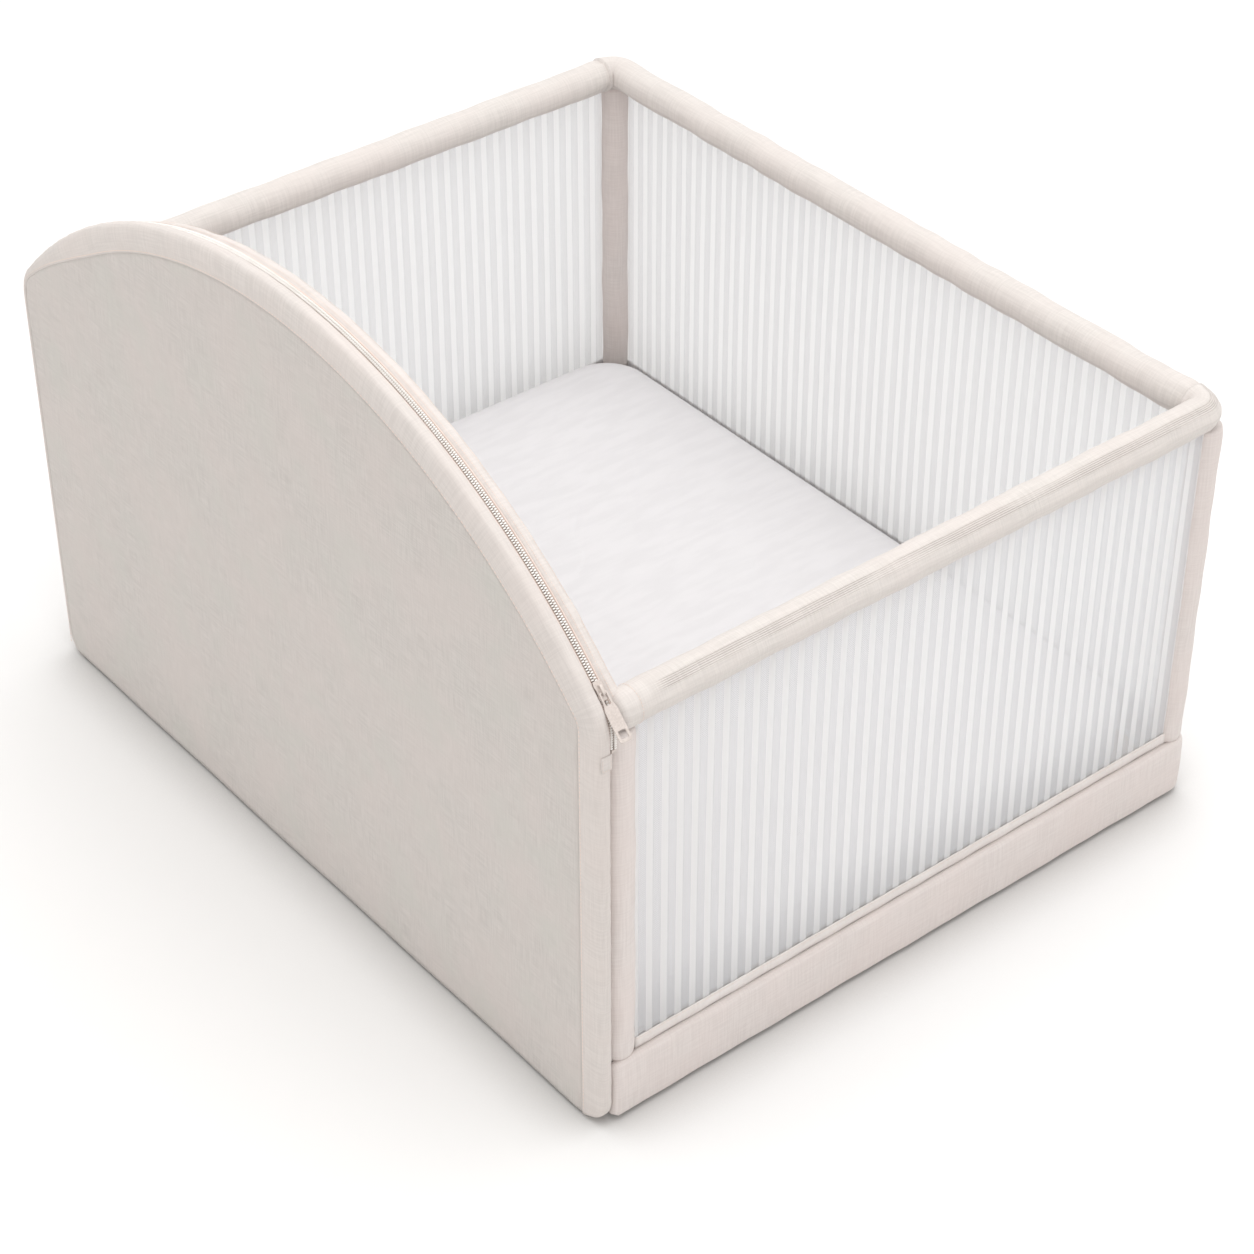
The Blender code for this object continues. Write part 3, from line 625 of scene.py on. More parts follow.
def makeSide():
    coverX = panelOut + sidePanel["coverX"]
    makeSideFace(
        "side_cover", coverX, coverX + 0.0026, sidePanel["crown"], cloths["side"], "panel_fabric",
        "panel_cover", "panel_foam"
    )
    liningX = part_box("panel_lining")[1].x
    makeSideFace(
        "side_lining", liningX - 0.0004, liningX - 0.0017, 0.0010, cloths["paintedLit"], "linen_fabric",
        "panel_lining"
    )

    # The rolled border: share of the width inwards from the edge, and depth across the side
    path, outs = outlinePath(0, 0, panelBottom, 0.005)
    width = borderWidth(path)
    half = (panelIn - panelOut) / 2
    centreX = (panelIn + panelOut) / 2
    section = [(1.0, 0.0070), (0.995, 0.0083), (0.975, 0.0090), (0.93, 0.0095), (0.85, 0.00985), (0.74, half)]
    section += [
        (0.74 * (1 - math.sin(t)), half * math.cos(t) ** 0.72)
        for t in np.linspace(0, math.pi / 2, 15)[1:-1]
    ]
    inner = [(0.0, 0.0)] + [
        (0.22 * (1 - math.cos(t)), -0.0035 - 0.0065 * math.sin(t)) for t in np.linspace(0, math.pi / 2, 7)
    ]
    section += inner + [(inward, -depth) for inward, depth in section[5::-1]]
    section = np.array(section)
    distance = lengthAlong(path)
    # The cloth is drawn in a little at each stitch of the curve
    drawn = 0.00025 * np.sin(distance * 2 * math.pi / 0.017) + 0.00025 * np.sin(
        distance * 2 * math.pi / 0.041 + 1
    )
    rings = np.empty((len(path), len(section), 3))
    fullness = section[:, 0]
    # The edge beside the zip keeps its soft turn where the border is narrow
    turned = (section[:, 1] < 0) & (fullness <= 0.22)
    soft = np.minimum(0.22 * sidePanel["border"], 0.7 * width) / (0.22 * width)
    for i in range(len(path)):
        inward = fullness * width[i] * np.where(turned, soft[i], 1) + drawn[i] * (1 - fullness) ** 2
        rings[i, :, 0] = centreX - section[:, 1] * (1 + drawn[i] * 10 * fullness)
        rings[i, :, 1:] = path[i, 1:] - outs[i, 1:] * inward[:, None]
    # Feet of the border round in towards the floor
    pull = footPull(rings[:, :, 2]) * np.where(rings[:, :, 1] > 0, 1, 1 - fullness[None, :])
    rings[:, :, 1] -= np.sign(rings[:, :, 1]) * np.where(np.abs(outs[:, 1])[:, None] > 0.99, pull, 0)
    around = np.concatenate([
        [0],
        np.cumsum(np.linalg.norm(
            np.diff(np.vstack([section * (0.035, 1), section[:1] * (0.035, 1)]), axis=0), axis=1
        )),
    ])
    border = makeTube("side_border_roll", rings, distance, around, cloths["border"], "side")
    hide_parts("panel_border")

    seam, ways = sideSeam(0.0036)
    for name, x, way in (("out", panelOut + 0.0004, -1.0), ("in", panelIn - 0.0004, 1.0)):
        line = seam + (x, 0, 0)
        stitchRow(f"side_stitches_{name}", line[line[:, 2] > panelBottom + 0.004], (way, 0, 0), "side")
    line, ways = outlinePath(0.0026, panelIn - 0.0042, panelBottom + 0.030)
    stitchRow(
        "side_stitches_edge", line, ways + np.array((0.45, 0, 0)), "side", length=0.0026, gap=0.0010,
        thick=0.0003
    )
    print("side made")


# Rails: front sleeve wraps the right front corner, right sleeve wraps the right back corner
rails = dict(radius=0.0222, bend=0.020, seamAt=0.030, cap=0.017, startX=zipX + 0.0052)


def makeRails():
    radius = rails["radius"]
    x0 = rails["startX"]
    turn = rails["bend"]
    z = railZ
    front = [(x0, -postY, z)] + [tuple(p) for p in bend((railX, -postY, z), (1, 0, 0), (0, 1, 0), turn)]
    front += [(railX, -postY + rails["seamAt"], z)]
    right = [(railX, -postY + rails["seamAt"] - 0.004, z)] + [
        tuple(p) for p in bend((railX, postY, z), (0, 1, 0), (-1, 0, 0), turn)
    ]
    right += [(railX - rails["seamAt"] + 0.002, postY, z)]
    back = [(railX - rails["seamAt"] + 0.007, postY, z), (x0, postY, z)]

    def topper(seam):
        # Length seam, cuff swell at the corner seam, folds inside the bend
        def shape(distance, angle, total):
            cuff = 0.0016 * np.exp(-(((total - distance) - 0.004) / 0.006) ** 2)
            folds = gather(distance, angle, total - rails["seamAt"] + 0.004, 0.016, 0.0008, 7)
            limp = 0.0004 * np.sin(
                distance * 47 + np.cos(angle) * 2
            ) + 0.0003 * np.sin(distance * 113 + angle)
            return seamRidge(angle, seam, 0.10, 0.0010) + cuff + folds + limp

        return shape

    def under(seam, at):
        def shape(distance, angle, total):
            start = distance if at == 0 else total - distance
            tuck = -0.0022 * np.exp(-((start / 0.007) ** 2))
            folds = gather(distance, angle, 0 if at == 0 else total, 0.030, 0.0013, 6, 0.5)
            limp = 0.0004 * np.sin(distance * 41 + np.cos(angle) * 2) + 0.0003 * np.sin(distance * 97 + angle)
            return seamRidge(angle, seam, 0.10, 0.0010) + tuck + folds + limp

        return shape

    def both(seam):
        tucked, cuffed = under(seam, 0), topper(seam)
        return lambda distance, angle, total: (
            tucked(distance, angle, total)
            + cuffed(distance, angle, total)
            - seamRidge(angle, seam, 0.10, 0.0010)
        )

    # The ends that stay open to the eye are closed by a rounded cap
    sizes = (("front", front, topper(math.radians(12)), (rails["cap"], 0.003), "rail_sleeve_front"),
             ("right", right, both(math.radians(200)), (0, 0.003), "rail_sleeve_right"),
             ("back", back, under(math.radians(205), 0), (0, rails["cap"]), "rail_sleeve_back"))
    for side, path, shape, ends, node in sizes:
        path = evenly(np.array(path, float), 0.0035)
        piece = sweepSleeve(
            f"rail_cover_{side}", path, radius, cloths["ribbed" if side == "front" else "linen"], "frame",
            48, shape=shape, ends=ends
        )
        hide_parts(node)

    # End cap of the front and back rail: a round of cloth set in with a seam
    for side, y in (("front", -postY), ("back", postY)):
        seamX = x0 + 0.030
        ring = [
            (seamX, y + math.cos(a) * (radius + 0.0004), z + math.sin(a) * (radius + 0.0004))
            for a in np.linspace(0, 2 * math.pi, 60)
        ]
        outs = [(0, math.cos(a), math.sin(a)) for a in np.linspace(0, 2 * math.pi, 60)]
        stitchRow(
            f"rail_cap_seam_{side}", ring, np.array(outs), "frame", length=0.0024, gap=0.0012, thick=0.00035
        )
    print("rails made")


def makePosts():
    plan = dict(radius=0.0185, top=railZ - 0.019, bottom=bandTop - 0.002)
    for node, halfWide in (
        ("front_left", 0.0208), ("back_left", 0.0208), ("front_right", 0.0195), ("back_right", 0.0195)
    ):
        foot = middle(f"foot_{node}")
        x = foot.x
        y = math.copysign(postY, foot.y)
        path = evenly([(x, y, plan["bottom"]), (x, y, plan["top"])], 0.006)

        def shape(distance, angle, total):
            foot = -0.0022 * np.exp(-((distance / 0.005) ** 2))
            head = -0.0016 * np.exp(-(((total - distance) / 0.006) ** 2))
            limp = 0.0004 * np.sin(
                distance * 35 + np.cos(angle) * 3
            ) + 0.0003 * np.sin(distance * 83 + angle * 2)
            return foot + head + limp

        piece = sweepSleeve(
            f"post_cover_{node}", path, plan["radius"], cloths["plinth"], "frame", 40,
            reference=(0, 1, 0), shape=shape, stretch=(halfWide / plan["radius"], 1.04),
        )
        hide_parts(f"post_sleeve_{node}")
    print("posts made")


def makeArchSleeve():
    # Padded sleeve on the arch, sewn to the zip's inner tape
    ends = math.asin(postY / lineRadius) - 0.012
    angles = np.linspace(ends, -ends, 230)
    line = np.array([(leftX - 0.0008, *archPoint(archInset, a)) for a in angles])
    outs = np.array([(0, -math.sin(a), math.cos(a)) for a in angles])
    around = np.linspace(0, 2 * math.pi, 32, endpoint=False)
    distance = lengthAlong(line)
    radius = 0.0122
    wide = radius + 0.0003 * np.sin(
        distance[:, None] * 60 + 2 * np.cos(around)[None, :]
    ) + 0.0003 * np.sin(distance[:, None] * 131 + around[None, :])
    acrossX = np.array((1.0, 0, 0))
    rings = line[:, None, :] + outs[:, None, :] * (
        wide * np.sin(around)
    )[..., None] + acrossX * (wide * np.cos(around))[..., None]
    piece = makeTube(
        "arch_cover", rings, distance, np.linspace(0, 2 * math.pi * radius, 33), cloths["paintedLit"], "frame",
    )
    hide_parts("arch_sleeve")
    for name, tilt in (("near", 100), ("far", 52)):
        t = math.radians(tilt)
        row = line + outs * (radius * math.sin(t) + 0.0004) + acrossX * (radius * math.cos(t))
        ways = outs * math.sin(t) + acrossX * math.cos(t)
        stitchRow(f"arch_stitches_{name}", row, ways, "frame", length=0.0026, gap=0.0010, thick=0.0003)
    print("arch made")


# Plinth cover
plinth = dict(depth=0.0105, corner=0.021, round=0.006, crown=0.0013)


def makePlinth():
    x0 = bandLow.x + 0.0004
    depth, roundness = plinth["depth"], plinth["round"]
    y, x = halfLength, halfWidth
    turn = plinth["corner"]
    route = [(x0, -y, 0)] + [tuple(p) for p in bend((x, -y, 0), (1, 0, 0), (0, 1, 0), turn, 14)]
    route += [tuple(p) for p in bend((x, y, 0), (0, 1, 0), (-1, 0, 0), turn, 14)] + [(x0, y, 0)]
    path = evenly(route, 0.006)
    _, side, _ = framesAlong(path, np.array((0.0, 0, 1)))
    # side points outwards here: to the right of travel
    low, high = bandBottom, bandTop
    section = []
    for centreZ, start in ((high - roundness, 0.0), (low + roundness, -90.0)):
        for t in np.linspace(0, 90, 7):
            a = math.radians(90 - t + start)
            section.append((-roundness + roundness * math.cos(a), centreZ + roundness * math.sin(a)))
    outer = np.array(section)
    flat = np.linspace(high - roundness, low + roundness, 9)[1:-1]
    crownRow = [(plinth["crown"] * math.sin(math.pi * (zz - low) / (high - low)) - 0.0004, zz) for zz in flat]
    profile = [tuple(p) for p in outer[:7]] + crownRow + [tuple(p) for p in outer[7:]]
    profile += [(-depth, low), (-depth, low + 0.02), (-depth, high - 0.02), (-depth, high)]
    profile = np.array(profile)
    distance = lengthAlong(path)
    total = distance[-1]
    rings = np.empty((len(path), len(profile), 3))
    sewn = 0.0003 * np.sin(distance * 31) + 0.00025 * np.sin(distance * 83 + 1)
    for i in range(len(path)):
        gone = min(distance[i], total - distance[i])
        inset = 0.004 * (1 - math.sqrt(max(0, 1 - max(0, 1 - gone / 0.008) ** 2)))
        out = profile[:, 0] + sewn[i] * (profile[:, 0] > -0.003) - inset * (profile[:, 0] > -depth + 0.002)
        rings[i, :, 0] = path[i, 0] + side[i, 0] * out
        rings[i, :, 1] = path[i, 1] + side[i, 1] * out
        rings[i, :, 2] = profile[:, 1] + np.where(profile[:, 1] > 0.04, -inset * 0.5, inset * 0.8)
    edge = np.concatenate(
        [[0], np.cumsum(np.linalg.norm(np.diff(np.vstack([profile, profile[:1]]), axis=0), axis=1))]
    )
    piece = makeTube("plinth_cover", rings, distance, edge, cloths["plinth"], "frame")
    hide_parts("base_band_front", "base_band_right", "base_band_back")
    print("plinth made")


# Mesh walls
walls = dict(pitch=0.0212, rows=40, swell=0.0016)


def makeWall(side):
    low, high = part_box(f"mesh_{side}")
    across = 1 if side == "right" else 0
    begin, end = (low.y, high.y) if across else (low.x, high.x)
    depth = (low.x + high.x) / 2 if across else (low.y + high.y) / 2
    out = 1.0 if side in ("right", "back") else -1.0
    begin -= 0.004
    end += 0.004
    width = end - begin
    stripes = round(width / walls["pitch"])
    pitch = width / stripes
    share = np.array([0, 0.15, 0.29, 0.33, 0.40, 0.5, 0.60, 0.67, 0.71, 0.85])
    u = np.concatenate([(k + share) * pitch for k in range(stripes)] + [[width]])
    z = np.linspace(low.z + 0.004, high.z + 0.004, walls["rows"])
    inside = np.concatenate([share] * stripes + [[0.0]])
    # Net bands lie back a little between the close stripes, which stand proud like fine ribs
    ribs = np.where(np.abs(inside - 0.5) < 0.19, -0.0004, 0.0004)
    slack = np.sin(math.pi * (z - z[0]) / (z[-1] - z[0]))
    wave = 0.0005 * np.sin(u[:, None] * 70 + 3 * np.sin(z[None, :] * 5)) * slack[None, :]
    surface = depth + out * (
        ribs[:, None] + wave - walls["swell"] * slack[None, :] * np.sin(math.pi * u / width)[:, None]
    )
    grid = np.empty((len(u), len(z), 3))
    grid[:, :, 0 if not across else 1] = (begin + u)[:, None]
    grid[:, :, 1 if not across else 0] = surface
    grid[:, :, 2] = z[None, :]
    quads, corners = gridFaces(len(u), len(z), False)
    uvGrid = np.stack(np.broadcast_arrays((u * walls["pitch"] / pitch)[:, None], z[None, :]), 2)
    uv = uvGrid[corners[..., 0], corners[..., 1]].reshape(-1, 2)
    piece = addPiece(
        f"mesh_wall_{side}", grid.reshape(-1, 3), quads.tolist(), cloths["net"], "frame",
        uv, outward=False
    )
    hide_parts(f"mesh_{side}")

    # The hem: a folded strip of linen along the foot, stitched at its top edge
    hemLow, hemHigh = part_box(f"mesh_hem_{side}")
    hemDepth = (hemLow.x + hemHigh.x) / 2 if across else (hemLow.y + hemHigh.y) / 2
    u = np.linspace(begin, end, 160)
    z = np.linspace(hemLow.z - 0.001, hemHigh.z - 0.004, 9)
    bulge = 0.0006 * np.sin(math.pi * np.linspace(0, 1, 9))[None, :] + 0.0003 * np.sin(u * 90)[:, None]
    front, back = np.empty((160, 9, 3)), np.empty((160, 9, 3))
    for grid, offset in ((front, out * (0.0003 + bulge)), (back, -out * np.full_like(bulge, 0.0004))):
        grid[:, :, 1 if across else 0] = u[:, None]
        grid[:, :, 0 if across else 1] = hemDepth + offset
        grid[:, :, 2] = z[None, :]
    uvGrid = np.stack(np.broadcast_arrays(u[:, None], z[None, :]), 2)
    hem = makeSlab(f"mesh_foot_hem_{side}", front, back, uvGrid, cloths["hem"], "frame")
    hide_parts(f"mesh_hem_{side}")
    face = hemDepth + out * 0.0008
    line = [
        (u0, face, z[-1] - 0.0022) if not across else (face, u0, z[-1] - 0.0022)
        for u0 in np.linspace(begin, end, 40)
    ]
    row = stitchRow(
        f"mesh_hem_stitches_{side}", line, (0, out, 0) if not across else (out, 0, 0), "frame",
        length=0.003, gap=0.0014, thick=0.0003
    )


def makeWalls():
    for side in ("front", "right", "back"):
        makeWall(side)
    print("walls made")


# Mattress
mattress = dict(corner=0.065, crown=0.003, quilt=0.058, tuft=0.0011, piping=0.0020)


def roundedLoop(low, high, radius, count):
    # Points round a rectangle with round corners, evenly spaced
    loop = []
    for cx, cy, start in ((high[0] - radius, high[1] - radius, 0), (low[0] + radius, high[1] - radius, 90),
                          (low[0] + radius, low[1] + radius, 180), (high[0] - radius, low[1] + radius, 270)):
        for t in np.linspace(0, 90, 24):
            a = math.radians(start + t)
            loop.append((cx + radius * math.cos(a), cy + radius * math.sin(a), 0))
    loop.append(loop[0])
    path = evenly(loop, 0.002)
    length = lengthAlong(path)
    places = np.linspace(0, length[-1], count + 1)[:-1]
    return np.stack([np.interp(places, length, path[:, k]) for k in range(3)], 1)


def quiltHeight(x, y):
    # Pebble quilting: round soft cells of uneven size drawn down along wandering stitch lines
    size = mattress["quilt"]
    wx = x + 0.010 * np.sin(y * 31 + 0.7) + 0.006 * np.sin(y * 67 + x * 23)
    wy = y + 0.010 * np.sin(x * 29 + 1.9) + 0.006 * np.sin(x * 71 - y * 19)
    a = np.abs(np.sin(math.pi * (wx + wy) / (size * 1.42)))
    b = np.abs(np.sin(math.pi * (wx - wy) / (size * 1.42)))
    cell = np.minimum(a, b)
    return (np.minimum(cell / 0.55, 1) ** 0.55 - 1) * mattress["tuft"]


def makeMattress():
    low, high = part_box("mattress_cover")
    crown = mattress["crown"]
    top = high.z
    count = 420
    # Rings from the middle of the top, out over the edge, down the wall and under
    spans = np.concatenate([np.linspace(0.0, 0.96, 74), [0.985, 1.0]])
    centre = np.array([(low.x + high.x) / 2, (low.y + high.y) / 2])
    outline = roundedLoop(
        (low.x + 0.002, low.y + 0.002), (high.x - 0.002, high.y - 0.002), mattress["corner"], count
    )[:, :2]
    rings = []
    halfX = (high.x - low.x) / 2
    spine = np.array([(centre[0], np.clip(p[1], low.y + halfX, high.y - halfX)) for p in outline])
    for s in spans[1:]:
        place = spine + (outline - spine) * s * 0.985
        fromEdge = (1 - s) * halfX
        fall = -0.012 * np.exp(-fromEdge / 0.012) + crown * (1 - s**4)
        z = top - 0.003 + fall + quiltHeight(place[:, 0], place[:, 1]) * min(1, fromEdge / 0.03)
        rings.append(np.column_stack([place, z]))
    wall = (
        top - 0.0185, top - 0.024, top - 0.036, top - 0.052, low.z + 0.028, low.z + 0.014, low.z + 0.006,
        low.z + 0.0012
    )
    outs = outline - spine
    outs /= np.linalg.norm(outs, axis=1)[:, None]
    angleAll = np.arange(count) / count * 2 * math.pi
    for k, z in enumerate(wall):
        share = k / (len(wall) - 1)
        puff = 0.0035 * math.sin(math.pi * share) - 0.002 + 0.0007 * np.sin(
            angleAll * 61 + k
        ) * math.sin(math.pi * share)
        if k == len(wall) - 1:
            puff = puff - 0.004
        rings.append(np.column_stack([outline + outs * np.reshape(puff, (-1, 1)), np.full(count, z)]))
    under = [0.9, 0.5, 0.02]
    for s in under:
        rings.append(np.column_stack([spine + (outline - spine) * s, np.full(count, low.z + 0.0006)]))
    rings = np.array(rings)
    steps = len(rings)
    quads, corners = gridFaces(steps, count, True)
    flat = rings.reshape(-1, 3)
    drop = np.zeros((steps, count + 1, 2))
    drop[:, :count] = rings[:, :, :2]
    drop[:, count] = drop[:, 0]
    first = len(spans) - 1
    uv = drop[corners[..., 0], corners[..., 1]].reshape(-1, 4, 2)
    rowOf = corners[:, :, 0].reshape(-1, 4)
    onWall = (rowOf.min(1) >= first - 1) & (rowOf.max(1) < first + len(wall))
    perimeter = lengthAlong(np.vstack([outline, outline[:1]]))
    column = corners[:, :, 1].reshape(-1, 4)
    heights = rings[:, 0, 2]
    uv[onWall] = np.stack([perimeter[column[onWall]], heights[rowOf[onWall]]], 2)
    faces = quads.tolist() + [list(range(count))[::-1], list(range((steps - 1) * count, steps * count))]
    caps = np.concatenate([rings[0, ::-1, :2], rings[-1, :, :2]])
    uv = np.concatenate([uv.reshape(-1, 2), caps])
    pad = addPiece("mattress_quilt", flat, faces, cloths["quilt"], "mattress", uv)
    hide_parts("mattress_cover", "mattress_foam")

    for name, z, out in (("top", top - 0.0290, 0.0012), ("foot", low.z + 0.0095, -0.0002)):
        line = np.column_stack([outline + outs * out, np.full(count, z)])
        line = evenly(np.vstack([line, line[:1]]), 0.006)
        _, side, rise = framesAlong(line, np.array((0.0, 0, 1)))
        angle = np.linspace(0, 2 * math.pi, 12, endpoint=False)
        radius = mattress["piping"]
        tube = line[:-1, None, :] + side[:-1, None, :] * (
            radius * np.cos(angle)
        )[None, :, None] + rise[:-1, None, :] * (radius * np.sin(angle))[None, :, None]
        rows = len(tube)
        i, j = np.meshgrid(np.arange(rows), np.arange(12), indexing="ij")
        i, j = i.ravel(), j.ravel()
        quadsAll = np.stack(
            [i * 12 + j, (i + 1) % rows * 12 + j, (i + 1) % rows * 12 + (j + 1) % 12, i * 12 + (j + 1) % 12],
            1
        )
        ring = lengthAlong(line)
        uvAll = np.stack([np.stack([ring[i], j / 12 * 0.016], 1), np.stack([ring[i + 1], j / 12 * 0.016], 1),
                          np.stack(
                              [ring[i + 1], (j + 1) / 12 * 0.016], 1
                          ), np.stack([ring[i], (j + 1) / 12 * 0.016], 1)], 1)
        addPiece(
            f"mattress_piping_{name}", tube.reshape(-1, 3), quadsAll.tolist(), cloths["quilt"], "mattress",
            uvAll.reshape(-1, 2)
        )
    print("mattress made")


# Zip: two tapes, two rows of teeth, slider, pull, stops and the cloth tab by its end
zipper = dict(inset=0.0053, tooth=0.0022, pitch=0.0031, slider=0.020)
sliderAngle = filletAngle - (zipper["slider"] / 2 + 0.001) / archRadius


def chainPath(inset, spacing):
    front = [(-halfLength + inset, chainEndZ + 0.001)]
    front += [cornerPoint(inset, a) for a in np.linspace(math.pi / 2, filletAngle, 14)]
    front += [archPoint(inset, a) for a in np.linspace(filletAngle, -filletAngle, 260)[1:]]
    outs = [(-1.0, 0.0)] + [(-math.sin(a), math.cos(a)) for a in np.linspace(math.pi / 2, filletAngle, 14)]
    outs += [(-math.sin(a), math.cos(a)) for a in np.linspace(filletAngle, -filletAngle, 260)[1:]]
    points = np.array([(0, y, z) for y, z in front])
    ways = np.array([(0, y, z) for y, z in outs])
    length = lengthAlong(points)
    places = np.arange(0, length[-1], spacing)
    points = np.stack([np.interp(places, length, points[:, k]) for k in range(3)], 1)
    ways = np.stack([np.interp(places, length, ways[:, k]) for k in range(3)], 1)
    return points, ways / np.linalg.norm(ways, axis=1)[:, None]


def toothShape(way):
    # A tooth seen from above: foot on the tape, neck, then a wider head at the middle of the chain
    outline = [(0.0032, 0.00065), (0.0024, 0.00085), (0.0015, 0.00070), (0.0010, 0.00092), (0.00050, 0.00078)]
    outline += [(x, -y) for x, y in outline[::-1]]
    return [(way * x, y) for x, y in outline]


def makeZip():
    inset, tall = zipper["inset"], zipper["tooth"]
    # Where the slider stands along the chain: the teeth nearer the front end lie apart
    sliderY = archPoint(inset, sliderAngle)[0]
    for name, way, shift, body, node in (
        ("panel", -1, 0.5, "side", "zip_coil_panel"), ("frame", 1, 0.0, "frame", "zip_coil_frame")
    ):
        centres, outs = chainPath(inset + tall / 2, zipper["pitch"] / 2)
        centres, outs = centres[int(shift * 2)::2], outs[int(shift * 2)::2]
        shape = toothShape(way)
        points, faces = [], []
        for k in range(len(centres)):
            out = outs[k]
            ahead = np.array((0, out[2], -out[1]))
            apart = 0.0007 if centres[k][1] < sliderY - 0.004 else 0.0
            first = len(points)
            for lift, shrink in ((-tall / 2, 0.85), (-tall / 4, 1.0), (tall / 4, 1.0), (tall / 2, 0.72)):
                for dx, dy in shape:
                    points.append(
                        centres[k] + np.array((zipX + dx + way * apart, 0, 0)) + ahead * dy * shrink + out * lift
                    )
            sides = len(shape)
            for ring in range(3):
                for j in range(sides):
                    a, b = first + ring * sides + j, first + ring * sides + (j + 1) % sides
                    faces.append([a, b, b + sides, a + sides])
            faces += [
                list(range(first, first + sides))[::-1], list(range(first + 3 * sides, first + 4 * sides))
            ]
        teeth = addPiece(f"zip_teeth_{name}", points, faces, cloths["teeth"], body, smooth=False)
        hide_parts(node)

    # Tapes: each runs from the teeth's feet to the cloth it is sewn to
    frameLine = [
        (0.0006, 0.00795), (0.0022, 0.0079), (0.0038, 0.0081), (0.0052, 0.0087), (0.0066, 0.0098),
        (0.0080, 0.0112), (0.0092, 0.0125)
    ]
    panelLine = [
        (-0.0006, 0.00795), (-0.0022, 0.0079), (-0.0036, 0.0080), (-0.0048, 0.0084), (-0.0062, 0.0094),
        (-0.0072, 0.0104)
    ]
    for name, profile, body, node in (
        ("frame", frameLine, "frame", "zip_tape_frame"), ("panel", panelLine, "side", "zip_tape_panel")
    ):
        top, outs = chainPath(0.0, 0.006)
        grid, under = (np.empty((len(top), len(profile), 3)) for _ in range(2))
        for j, (dx, down) in enumerate(profile):
            for target, drop in ((grid, 0.0), (under, 0.0006)):
                target[:, j, :] = top - outs * (down + drop)
                target[:, j, 0] = zipX + dx
        distance = lengthAlong(top)
        uv = np.stack(np.broadcast_arrays(distance[:, None], np.array([p[0] for p in profile])[None, :]), 2)
        tape = makeSlab(f"zip_band_{name}", grid, under, uv, cloths["tape"], body)
        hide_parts(node)
    for name, dx, down, body in (("panel", -0.0047, 0.0074, "side"), ("frame", 0.0072, 0.0096, "frame")):
        line, outs = chainPath(0.0, 0.005)
        line = line - outs * down + (zipX + dx, 0, 0)
        sweepSleeve(
            f"zip_piping_{name}", line, 0.0009, cloths["piping"], body, 8, reference=(1, 0, 0)
        )
    print("zip chain made")


def bevelled(name, outlines, thickness, edge, cloth, body, place):
    # A flat stamping with rounded edges, from an outline and its holes
    curve = bpy.data.curves.new(name, "CURVE")
    curve.dimensions = "2D"
    curve.fill_mode = "BOTH"
    curve.extrude = thickness / 2 - edge
    curve.bevel_depth = edge
    curve.bevel_resolution = 3
    curve.offset = -edge
    for outline in outlines:
        spline = curve.splines.new("POLY")
        spline.points.add(len(outline) - 1)
        for point, (u, v) in zip(spline.points, outline):
            point.co = (u, v, 0, 1)
        spline.use_cyclic_u = True
    helper = bpy.data.objects.new(name + "_draft", curve)
    bpy.context.scene.collection.objects.link(helper)
    bpy.context.view_layer.update()
    mesh = bpy.data.meshes.new_from_object(helper.evaluated_get(bpy.context.evaluated_depsgraph_get()))
    bpy.data.objects.remove(helper)
    work = bmesh.new()
    work.from_mesh(mesh)
    bmesh.ops.remove_doubles(work, verts=work.verts, dist=0.000005)
    work.to_mesh(mesh)
    work.free()
    mesh.transform(place)
    mesh.materials.clear()
    mesh.materials.append(cloth)
    mesh.name = name
    piece = bpy.data.objects.new(name, mesh)
    bpy.context.scene.collection.objects.link(piece)
    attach(piece, body)
    return piece


def roundedBox(halfWide, top, bottom, radius, steps=5):
    points = []
    for cx, cy, start in ((halfWide - radius, top - radius, 0), (-halfWide + radius, top - radius, 90),
                          (
                              -halfWide + radius, bottom + radius, 180
                          ), (halfWide - radius, bottom + radius, 270)):
        for k in range(steps + 1):
            a = math.radians(start + 90 * k / steps)
            points.append((cx + radius * math.cos(a), cy + radius * math.sin(a)))
    return points


